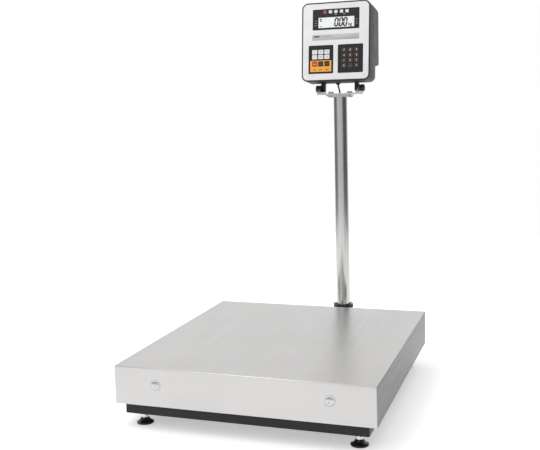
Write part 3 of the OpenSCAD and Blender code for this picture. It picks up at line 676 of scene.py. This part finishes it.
def cross_walls(bm, proud):
    """Four raised squares between the arms of the recess, so that it reads as a cross."""
    size = 2.6 * MM
    for angle in (45, 225, 135, 315):
        wall = bmesh.new()
        block(wall, size, size, 0.6 * MM, proud - 1.3 * MM, proud - 0.15 * MM, 0.3 * MM, steps=2)
        merge(bm, wall, turned(angle) @ Matrix.Translation((2.7 * MM, 0, 0)) @ turned(45))


def merge(into, part, place=None):
    """Adds one bmesh to another, moved by the matrix place, and frees it."""
    if place is not None:
        bmesh.ops.transform(part, matrix=place, verts=part.verts)
    mesh = bpy.data.meshes.new("part")
    part.to_mesh(mesh)
    part.free()
    into.from_mesh(mesh)
    bpy.data.meshes.remove(mesh)


def make_load_cell():
    """A rounded copy of the cell, which runs from its fixed end, bolted to the base, to its free end under the
    pan.
    """
    cell = rounded_copy("load_cell", "cell_alloy", 0.4)
    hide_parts("load_cell")
    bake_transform(cell)


# ---- Base ----


def make_base():
    """The painted frame and column bracket, with weld beads where the cross tubes meet the rails."""
    softened("base_frame", "root", "frame_paint", 0.5)
    softened("column_bracket", "root", "frame_paint", 0.5)
    low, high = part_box("base_frame")
    rail_w = 40 * MM
    rail_face = (high.x - low.x) / 2 - rail_w
    heights = [low.z + 10 * MM + 29 * MM * k / 20 for k in range(21)]
    bm = bmesh.new()
    for y in (-90, -20, 20, 90):
        for x in (-rail_face, rail_face):
            points = [(x, middle(low, high).y + y * MM, z) for z in heights]
            tube(bm, points, 1.6 * MM, 8, lambda i: 1.0 + 0.22 * (i % 2))
    finished(add_object("beam_welds", bm, "frame_paint"), "root", "frame_paint")


def thread(bm, radius, pitch, low, high, centre, sides=20, per_turn=4):
    """A screw thread's surface, as a tube whose radius follows a helix."""
    count = int((high - low) / pitch * per_turn)
    rings = []
    for i in range(count + 1):
        z = low + (high - low) * i / count
        ring = []
        for k in range(sides):
            phase = ((z / pitch - k / sides) % 1.0) * 2
            depth = abs(phase - 1) * 0.5 * pitch
            ring.append(polar(radius - depth, math.tau * k / sides, z, centre))
        rings.append(ring)
    skin_rings(bm, rings)


def hex_rings(across, levels, centre=(0.0, 0.0)):
    """A hexagon's outline at each height, cut back to a circle of the radius given with it."""
    rings = []
    for limit, z in levels:
        ring = []
        for k in range(48):
            turn = math.tau * k / 48
            flat = across / 2 / math.cos((turn % (math.pi / 3)) - math.pi / 6)
            ring.append(polar(min(flat, limit), turn, z, centre))
        rings.append(ring)
    return rings


def hexagon(bm, across, low, high, centre, chamfer):
    """A hexagon bar whose two ends are turned down at the corners."""
    point = across / 2 / math.cos(math.pi / 6)
    half = across / 2
    levels = [(half * 0.96, low), (half, low + chamfer * 0.1), (point, low + chamfer)]
    levels += [(point, high - chamfer), (half, high - chamfer * 0.1), (half * 0.96, high)]
    skin_rings(bm, hex_rings(across, levels, centre))


# A pad's outline from its rim up to its neck: share of its radius, and height in millimetres
PAD_OUTLINE = (
    (0.9, 0.0), (0.985, 0.4), (1.0, 1.4), (1.0, 2.6), (0.975, 3.7), (0.93, 4.2), (0.86, 4.7),
    (0.76, 5.9), (0.66, 7.7), (0.57, 9.7), (0.51, 11.6), (0.47, 13.2), (0.43, 13.9), (0.34, 14.0),
)
STUD_BORE = 5.06
STUD_COLLAR = ((7.6, 22.0), (7.4, 22.4), (6.6, 22.65), (5.0, 22.75))


def make_feet():
    """At each foot a plastic pad with a socket, and a threaded stud with a hexagon above the pad."""
    for name in FEET:
        low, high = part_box("foot_pad_" + name)
        centre = (middle(low, high).x, middle(low, high).y)
        r = (high.x - low.x) / 2
        bm = bmesh.new()
        profile = [(r * share, z * MM) for share, z in PAD_OUTLINE]
        lathe(bm, profile + in_metres([(STUD_BORE, 13.9), (STUD_BORE, 6.2), (0.3, 6.0)]), 64, centre)
        pad = add_object("levelling_pad_" + name, bm, "foot_plastic", smooth=50)
        finished(pad, "foot_pad_" + name, "foot_plastic", "foot_pad_" + name)
        stud_low, stud_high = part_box("foot_stud_" + name)
        across = 17 * MM
        stem = [(4.8 * MM, stud_low.z), (5 * MM, stud_low.z + 0.4 * MM), (5 * MM, 14.2 * MM)]
        bm = bmesh.new()
        lathe(bm, stem, 32, centre)
        hexagon(bm, across, 14.1 * MM, 22.1 * MM, centre, 1.5 * MM)
        lathe(bm, in_metres(STUD_COLLAR), 40, centre)
        thread(bm, 4.98 * MM, 1.5 * MM, 22.7 * MM, stud_high.z, centre)
        stud = add_object("levelling_stud_" + name, bm, "foot_steel", smooth=35)
        finished(stud, "foot_stud_" + name, "foot_steel", "foot_stud_" + name)


def make_foot_nuts():
    """The lock nut under the tube and the weld nut in it, each with a bore for the stud."""
    gap = 0.02
    bm = bmesh.new()
    for name in FEET:
        low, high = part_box("foot_stud_" + name)
        centre = (middle(low, high).x, middle(low, high).y)
        for across, z, tall, turn in ((17, 28, 6, 0), (15.9, 36.5, 8, 30)):
            nut = bmesh.new()
            bored_nut(nut, across * MM, STUD_BORE * MM, gap * MM, (tall - gap) * MM, 1.2 * MM)
            merge(bm, nut, Matrix.Translation((*centre, z * MM)) @ turned(turn))
    finished(add_object("stud_nuts", bm, "zinc_steel", smooth=35), "root", "zinc_steel", "foot_nuts")


def bored_nut(bm, across, bore, low, high, chamfer):
    """A hexagon nut with chamfered corners and a plain bore."""
    point = across / 2 / math.cos(math.pi / 6)
    edge = across / 2 * 0.95
    levels = [(bore, low), (edge, low), (point, low + chamfer)]
    levels += [(point, high - chamfer), (edge, high), (bore, high)]
    skin_rings(bm, hex_rings(across, levels), around=True)


def make_level():
    """Round level on the bracket: metal rim, a green domed glass, and the bubble."""
    low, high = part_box("spirit_level")
    centre = (middle(low, high).x, middle(low, high).y)
    r, top = (high.x - low.x) / 2, high.z
    bm = bmesh.new()
    rim = [(r, low.z), (r, top - 0.5 * MM), (r - 0.5 * MM, top), (r - 1.6 * MM, top)]
    lathe(bm, rim + [(r - 1.9 * MM, top - 0.6 * MM), (r - 2 * MM, top - 1.9 * MM)], 40, centre)
    finished(add_object("level_rim", bm, "zinc_steel"), "root", "level_vial", "spirit_level")
    bm = bmesh.new()
    glass_r, glass_low = r - 2 * MM, top - 0.9 * MM
    glass = [(r - 1.95 * MM, top - 1.8 * MM), (r - 1.95 * MM, glass_low)]
    glass += [(glass_r * math.cos(a), glass_low + 0.6 * MM * math.sin(a)) for a in quarter(6)[1:-1]]
    lathe(bm, glass + [(0.2 * MM, top - 0.3 * MM)], 40, centre)
    finished(add_object("level_glass", bm, "level_vial"), "root", "level_vial")
    bm = bmesh.new()
    bubble_low = top - 0.42 * MM
    bubble = [(1.8 * MM, top - 0.8 * MM)]
    bubble += [(1.9 * MM * math.cos(a), bubble_low + 0.3 * MM * math.sin(a)) for a in quarter(5)[:-1]]
    off = (centre[0] + 0.4 * MM, centre[1] - 0.3 * MM)
    lathe(bm, bubble + [(0.1 * MM, top - 0.11 * MM)], 24, off)
    finished(add_object("level_bubble", bm, "pale_ink"), "root", "level_vial")


# ---- Column ----


# Radius and height above the collar of a cap screw's head, down to the floor of its socket
CAP_SCREW = ((4.0, 0.02), (4.0, 1.3), (3.7, 2.1), (3.0, 2.6), (1.9, 2.6), (1.7, 1.2))


def make_column():
    """The collar with its two cap screws, and the weld under the tube's top plate."""
    softened("column_collar", "root", "frame_paint", 0.7)
    centre = (PIVOT.x, PIVOT.y)
    tube_r, plate_t = 19.05 * MM, 4 * MM
    weld_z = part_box("column")[1].z - plate_t - 0.9 * MM
    bm = bmesh.new()
    tube(bm, hoop(tube_r, 72, weld_z, centre), 1.3 * MM, 8, lambda i: 1.0 + 0.16 * (i % 2))
    finished(add_object("column_top_weld", bm, "weld_bead"), "root", "stainless_tube")
    collar_low, collar_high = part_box("column_collar")
    top = collar_high.z
    bm = bmesh.new()
    for side in (-1, 1):
        place = (centre[0] + side * 23.4 * MM, centre[1])
        lathe(bm, [(r * MM, top + z * MM) for r, z in CAP_SCREW], 32, place)
        lathe(bm, [(0.94 * MM, collar_low.z - 9 * MM), (0.94 * MM, top + 0.1 * MM)], 16, place)
    finished(add_object("collar_screws", bm, "bright_screw"), "root", "zinc_steel")


def make_bracket():
    """The bent steel bracket, with a thin washer on the outside of each ear."""
    softened("head_bracket", "root", "bracket_steel", 0.35)
    low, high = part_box("head_bracket")
    bm = bmesh.new()
    for side in (-1, 1):
        part = bmesh.new()
        lathe(part, rounded(8.5 * MM, 0.02 * MM, 0.36 * MM, 0.12 * MM), 40)
        face = PIVOT.x + side * (high.x - low.x) / 2
        merge(bm, part, Matrix.Translation((face, PIVOT.y, PIVOT.z)) @ turned(90 * side, "Y"))
    finished(add_object("ear_washers", bm, "bright_screw"), "root", "bracket_steel")


# Share of the grip's radius, millimetres from its inner or outer face, and depth of the flutes
GRIP_INNER = ((0.80, 0, 0), (0.84, 0.5, 0), (0.86, 1.8, 0), (0.97, 2.8, 0.7), (1.0, 3.8, 1))
GRIP_OUTER = (
    (1.0, 2.2, 1), (0.96, 0.9, 1), (0.87, 0.15, 0.9), (0.72, 0, 0.6),
    (0.56, 0, 0), (0.5, 0.7, 0), (0.1, 0.7, 0),
)


def lobed(share, z, depth):
    """A ring of six lobes with flutes between them, at height z."""
    sides = 96
    ring = []
    for k in range(sides):
        turn = math.tau * k / sides
        flute = max(0.0, math.cos(6 * turn)) ** 1.5
        ring.append(polar(10 * MM * share - depth * 1.7 * MM * flute, turn, z))
    return ring


def make_knobs():
    """Six-lobed hand knobs with rounded rims, a recessed cap, and a steel stud into the case."""
    grip_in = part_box("head_bracket")[1].x - PIVOT.x + 0.4 * MM
    for side, name in ((-1, "tilt_knob_left"), (1, "tilt_knob_right")):
        low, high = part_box(name)
        tip, grip_out = sorted((abs(low.x - PIVOT.x), abs(high.x - PIVOT.x)))
        rings = [lobed(share, grip_in + z * MM, depth) for share, z, depth in GRIP_INNER]
        rings += [lobed(share, grip_out - z * MM, depth) for share, z, depth in GRIP_OUTER]
        bm = bmesh.new()
        skin_rings(bm, rings)
        place = Matrix.Translation(PIVOT) @ turned(90 * side, "Y")
        knob = add_object(name + "_grip", bm, "knob_plastic", place, smooth=50)
        finished(knob, name, "knob_plastic", name)
        bm = bmesh.new()
        lathe(bm, [(2.6 * MM, tip), (3.0 * MM, tip + 0.5 * MM), (3.0 * MM, grip_in + 0.1 * MM)], 28)
        finished(add_object(name + "_stud", bm, "bright_screw", place), name, "knob_plastic")


# ---- Cable ----

# Across from the pan's middle, back from the pan's middle, and above the floor, in millimetres
CABLE_ROUTE = (
    (0, 78, 99),
    (0, 88, 99),
    (2, 100, 96),
    (8, 120, 88),
    (18, 145, 76),
    (30, 175, 64),
    (40, 205, 56),
    (48, 235, 52),
    (53, 265, 50),
    (54, 295, 50),
    (54, 330, 50),
    (54, 360, 50),
    (54, 372, 51),
    (54, 380, 55),
    (54, 385, 62),
    (54, 387, 72),
    (54, 387, 90),
    (54, 387, 200),
    (54, 387, 320),
    (54, 387, 440),
    (54, 387, 560),
    (54, 387, 680),
    (54, 387, 718),
    (54, 387, 735),
    (53, 387.4, 746),
    (50.4, 388.6, 757),
    (48, 390, 765),
    (47, 391.2, 770),
    (47, 392.1, 779),
)


def spline(a, b, c, d, t):
    """The point at share t of the way from b to c, on a smooth curve that a and d steer."""
    straight = 2 * b + (c - a) * t
    return 0.5 * (straight + (2 * a - 5 * b + 4 * c - d) * t * t + (3 * b - a - 3 * c + d) * t**3)


def make_cable():
    """From the load cell through the column and into the indicator."""
    pan_middle = middle(*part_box("weighing_pan")).y
    route = [Vector((x * MM, y * MM + pan_middle, z * MM)) for x, y, z in CABLE_ROUTE]
    last = len(route) - 1
    points = []
    for i in range(last):
        a, b, c, d = (route[min(max(k, 0), last)] for k in (i - 1, i, i + 1, i + 2))
        points += [spline(a, b, c, d, t / 6) for t in range(6)]
    points.append(route[last])
    bm = bmesh.new()
    tube(bm, points, 2.2 * MM, 16)
    cable = add_object("load_cell_lead", bm, "cable_sheath")
    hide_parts("load_cell_cable")
    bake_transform(cable)


# ---- Indicator ----


def make_case():
    """The moulded case and its lacquered face."""
    softened("rear_case", "head", "case_plastic", 0.9, 3)
    softened("front_panel", "head", "silver_panel", 0.3)


PANEL = head_box("front_panel")
WINDOW = head_box("display_window")
LCD = head_box("lcd_module")
LCD_MIDDLE_Z = WINDOW[0].z + 19.5 * MM
LAMPS = head_box("indicator_lamps")


def face_plate(name, x, z, w, h, front, material, slot, r=0.3, depth=0.12, body="head", edge=0.03):
    """A thin printed or stuck-on plate, in millimetres, with its front face at front."""
    bm = bmesh.new()
    block(bm, w * MM, h * MM, r * MM, -depth * MM, 0, edge * MM, steps=3)
    return finished(add_object(name, bm, material, on_face(x, z, front)), body, slot)


def make_lamps():
    """Five square lenses with rounded edges, the first one red, the others with a pale core."""
    low, high = LAMPS
    mid = middle(low, high).z
    lamp_w = 9.6 * MM
    pitch = (high.x - low.x - lamp_w) / 4
    for i in range(5):
        bm = bmesh.new()
        block(bm, lamp_w, high.z - low.z, 0.8 * MM, -5 * MM, 0, 0.5 * MM, dish=0.15 * MM)
        x = low.x + lamp_w / 2 + i * pitch
        lamp = add_object(f"lamp_{i + 1}", bm, "lamp_white" if i else "lamp_red", on_face(x, mid, low.y))
        if i:
            finished(lamp, "head", "lamp_white")
            core = low.y - 0.02 * MM
            face_plate(f"lamp_core_{i + 1}", x, mid, 5.4, 4.8, core, "white_key", "lamp_white", 1.2)
        else:
            finished(lamp, "head", "lamp_white", "indicator_lamps")


def segment_outline(start, end, thick):
    """A bar of a seven-segment digit, pointed at both ends."""
    start, end = Vector(start), Vector(end)
    along = (end - start).normalized()
    across = Vector((-along.y, along.x)) * thick / 2
    taper = along * thick * 0.34
    near, far = start + taper, end - taper
    return [start, near + across, far + across, end, far - across, near - across]


# The six bars of a zero, between corners given as (left or right, down, middle or up)
ZERO_BARS = (
    ((-1, 1), (1, 1)), ((1, 1), (1, 0)), ((1, 0), (1, -1)),
    ((-1, -1), (1, -1)), ((-1, 0), (-1, -1)), ((-1, 1), (-1, 0)),
)


def make_lcd():
    """White display with slanted segments reading zero, a unit, and a few small flags."""
    front = LCD[0].y
    glass_mid = middle(*WINDOW).x + 1.0 * MM
    base = LCD_MIDDLE_Z
    bm = bmesh.new()
    slant = math.tan(math.radians(6))
    thick, half_w, half_h = 3.9, 3.9, 10.4
    ink_low, ink_high = -0.1, 0.06
    for centre in (0.6, 13.4, 25.4):
        for a, b in ZERO_BARS:
            start, end = Vector((a[0] * half_w, a[1] * half_h)), Vector((b[0] * half_w, b[1] * half_h))
            trim = (end - start).normalized() * 0.12
            outline = segment_outline(start + trim, end - trim, thick)
            slanted = [(centre + p.x + slant * p.y, p.y) for p in outline]
            extrude_outline(bm, slanted, ink_low, ink_high)
    dot_x, dot_z, half = 7.6 + slant * -11, -10.6, 1.1
    dot = [(dot_x + sx * half, dot_z + sz * half) for sx, sz in ((-1, -1), (1, -1), (1, 1), (-1, 1))]
    extrude_outline(bm, dot, ink_low, ink_high)
    finished(add_object("lcd_digits", bm, "lcd_ink", on_face(glass_mid, base, front)), "head", "lcd_white")
    unit_place = on_face(glass_mid + 38.6 * MM, base - 7.2 * MM, front)
    lettering("lcd_unit", "kg", 8.4, "lcd_ink", unit_place, "head", "lcd_white", bold=0.28)
    flags = ((-43.5, 9.6, 5.6, 3.4, 1.5), (-43.2, 5.0, 4.8, 3.4, 0.4), (-43.5, -10.4, 5.2, 1.5, 0.4))
    for i, (x, z, w, h, r) in enumerate(flags):
        place = glass_mid + x * MM, base + z * MM
        face_plate(f"lcd_flag_{i + 1}", *place, w, h, front - 0.05 * MM, "lcd_ink", "lcd_white", r)
    edge = WINDOW[0].y - 0.03 * MM
    for i, z in enumerate((5.5, -0.5, -6.5)):
        for side, x, w in (("right", 57.2, 6.0), ("left", -57.4, 7.0)):
            place = glass_mid + x * MM, base + z * MM
            face_plate(f"window_mark_{i + 1}_{side}", *place, w, 1.2, edge, "grey_ink", "window_black", 0.3)
    for i, x in enumerate((0.5, 23.5)):
        place = x * MM, LAMPS[0].z - 3.2 * MM
        face_plate(f"lamp_mark_{i + 1}", *place, 4.6, 1.3, edge, "pale_ink", "window_black", 0.3)


def extrude_outline(bm, outline, low, high):
    """A flat prism from an outline of (x, y) pairs, in millimetres."""
    skin_rings(bm, [in_metres([(x, y, z) for x, y in outline]) for z in (low, high)])


def make_strip():
    """Blank name strip between the window and the keypads, with plain bars instead of a name."""
    front = PANEL[0].y - 0.18 * MM
    z = WINDOW[0].z - 20.5 * MM
    face_plate("name_strip", 0, z, 132, 15.5, front, "silver_strip", "silver_panel", 0.6, 0.2)
    bars = (
        (-53.5, 2.6, 17, 3.6, "dark_ink", 1.7),
        (-25, 2.0, 32, 1.5, "grey_ink", 0.7),
        (47, -5.4, 36, 1.5, "grey_ink", 0.7),
    )
    for i, (x, up, w, h, ink, r) in enumerate(bars):
        place = x * MM, z + up * MM
        face_plate(f"strip_bar_{i + 1}", *place, w, h, front - 0.06 * MM, ink, "silver_panel", r)


def key_cap(name, material, slot, dish=0.18):
    """A key cap with round corners and edges and a slightly hollow face."""
    low, high = head_box(name)
    rim = 1.0 * MM
    w, h = high.x - low.x - 2 * rim, high.z - low.z - 2 * rim
    bm = bmesh.new()
    block(bm, w, h, 1.1 * MM, -(high.y - low.y) + 0.05 * MM, 0, 0.5 * MM, dish=dish * MM)
    place = on_face(middle(low, high).x, middle(low, high).z, low.y)
    finished(add_object(name + "_cap", bm, material, place), name, slot, name)
    return middle(low, high).x, middle(low, high).z, low.y


def triangle_mark(name, x, z, front, size, up, body):
    """A small printed triangle that points up or down."""
    tip = size if up else -size
    bm = bmesh.new()
    extrude_outline(bm, [(-size, -0.6 * tip), (size, -0.6 * tip), (0, 0.7 * tip)], -0.3, 0.0)
    finished(add_object(name, bm, "grey_ink", on_face(x, z, front)), body, "white_key")


def make_function_keys():
    """White keys with small plain marks: arrows, bars and a ring."""
    ink, slot = "grey_ink", "white_key"
    for i in range(1, 7):
        name = f"function_key_{i}"
        x, z, front = key_cap(name, "white_key", "white_key")
        mark = front + 0.1 * MM
        if i in (1, 4):
            triangle_mark(f"{name}_mark", x, z, mark, 2.0, i == 1, name)
        elif i in (2, 5):
            for k, up in enumerate((1.2, -1.2)):
                face_plate(f"{name}_mark_{k + 1}", x, z + up * MM, 6.0, 1.1, mark, ink, slot, 0.3, 0.3, name)
        elif i == 3:
            face_plate(f"{name}_mark", x, z, 7.5, 1.5, mark, ink, slot, 0.6, 0.3, name)
        else:
            bm = bmesh.new()
            tube(bm, hoop(2.1 * MM, 28), 0.4 * MM, 8)
            finished(add_object(f"{name}_mark", bm, ink, on_face(x, z, mark)), name, slot)


def field_strip(bm, x0, x1, z0, z1, r, thick, steps):
    """A flat strip of the coloured field between two corners."""
    strip = bmesh.new()
    block(strip, x1 - x0, z1 - z0, r * MM, 0, thick, 0.04 * MM, steps=steps)
    merge(bm, strip, Matrix.Translation(((x0 + x1) / 2, (z0 + z1) / 2, 0)))


def make_action_keys():
    """A red and two black keys on an orange field, each with a small label bar below it."""
    keypad_low, keypad_high = head_box("keypad_left")
    front = keypad_low.y - 0.1 * MM
    boxes = [head_box(f"action_key_{i}") for i in (1, 2, 3)]
    hole_w = boxes[0][1].x - boxes[0][0].x - 1.2 * MM
    top = boxes[0][1].z + 0.6 * MM
    hole_low = boxes[0][0].z + 0.4 * MM
    field_low = keypad_low.z + 5.0 * MM
    left, right = keypad_low.x + 5 * MM, keypad_high.x - 5 * MM
    centres = [middle(*b).x for b in boxes]
    starts = [left] + [x + hole_w / 2 for x in centres]
    ends = [x - hole_w / 2 for x in centres] + [right]
    thin = 0.16 * MM
    bm = bmesh.new()
    for x0, x1 in zip(starts, ends):
        field_strip(bm, x0, x1, hole_low - 0.8 * MM, top, 0.4, thin, 2)
    field_strip(bm, left, right, field_low, hole_low, 0.8, thin * 1.02, 3)
    field_strip(bm, left, right, top - 0.1 * MM, top + 2.1 * MM, 0.8, thin * 1.02, 3)
    field = add_object("action_field", bm, "orange_ink", on_face(0, 0, front + thin))
    finished(field, "head", "keypad_black")
    label_z, label_front = field_low + 5.6 * MM, front - 0.05 * MM
    black = ("black_key", "brown_ink")
    for i, (look, ink) in enumerate((("red_key", "pale_ink"), black, black), 1):
        name = f"action_key_{i}"
        x, z, key_front = key_cap(name, look, look)
        face_plate(f"{name}_mark", x, z, 5.5, 1.6, key_front + 0.1 * MM, ink, "black_key", 0.5, 0.3, name)
        face_plate(f"{name}_label", x, label_z, 9.5, 2.0, label_front, "dark_ink", "keypad_black", 0.6)


def make_digit_keys():
    """Twelve dark keys with thin brown frames and pale numbers."""
    for i, text in enumerate("7894561230-+"):
        name = f"digit_key_{i + 1}"
        x, z, front = key_cap(name, "digit_key", "digit_key", dish=0.12)
        low, high = head_box(name)
        w, h = high.x - low.x - 4.4 * MM, high.z - low.z - 4.2 * MM
        bm = bmesh.new()
        outline = rounded_rect(w, h, 1.6 * MM, 0, 4)
        tube(bm, outline + outline[:1], 0.32 * MM, 6)
        ring = add_object(f"{name}_frame", bm, "brown_ink", on_face(x, z, front + 0.02 * MM))
        finished(ring, name, "digit_key")
        place = on_face(x, z, front + 0.08 * MM)
        lettering(f"{name}_number", text, 5.6, "pale_ink", place, name, "digit_key", 0.3, 0.08)


# Radius and height of a dust cap's outline, and whether it is ribbed there
CAP_OUTLINE = ((6.6, -0.6, 0), (7.5, -0.3, 0), (7.8, 0.6, 1), (7.8, 5.0, 1), (7.8, 6.0, 0), (7.8, 17, 0))
GROMMET_OUTLINE = (
    (5.9, 0.0), (6.0, -0.6), (5.8, -1.8), (5.0, -2.8), (3.4, -3.0),
    (2.6, -2.6), (2.55, 3.0), (4.8, 3.0), (4.85, 0.0),
)


def make_socket_caps():
    """Ribbed dust caps on the two sockets, and the grommet round the cable."""
    reach = head_box("case_connectors")[1].x - 7.9 * MM
    sides = 60
    for side, name in ((-1, "socket_cap_left"), (1, "socket_cap_right")):
        rings = []
        for r, z, ribbed in CAP_OUTLINE:
            radii = [(r - 0.35 * ribbed * (k % 2)) * MM for k in range(sides)]
            rings.append([polar(rib, math.tau * k / sides, z * MM) for k, rib in enumerate(radii)])
        bm = bmesh.new()
        skin_rings(bm, rings)
        place = HEAD @ Matrix.Translation((side * reach, 38 * MM, 57.2 * MM))
        finished(add_object(name, bm, "connector_black", place, 30), "head", "connector_black")
    bm = bmesh.new()
    lathe(bm, in_metres(GROMMET_OUTLINE), 36, around=True)
    place = HEAD @ Matrix.Translation((-7 * MM, 3 * MM, 14 * MM))
    grommet = add_object("cable_grommet", bm, "connector_black", place)
    finished(grommet, "head", "connector_black", "case_connectors")


# ---- CAD nodes that keep their own shape ----


def dress_nodes():
    """Each CAD node takes the procedural material of its slot."""
    slots = {part["node"]: part["material_slot"] for part in frame["record"]["subparts"]}
    for name, node in NODES.items():
        node.data.materials.clear()
        node.data.materials.append(MATERIALS[slots[name]])


bpy.context.scene.view_settings.view_transform = "Standard"
make_camera()
make_world()
softbox("key_light", (-1.5, -2.9, 2.3), (0, 0, 0.2), (2.2, 2.2), 18)
softbox("top_light", (-0.75, -0.85, 2.7), (0, 0, 0.2), (1.3, 1.3), 15)
make_floor()
dress_nodes()
make_pan()
make_skirt_screws()
make_load_cell()
make_base()
make_feet()
make_foot_nuts()
make_level()
make_column()
make_bracket()
make_knobs()
make_cable()
make_case()
make_lamps()
make_lcd()
make_strip()
make_function_keys()
make_action_keys()
make_digit_keys()
make_socket_caps()
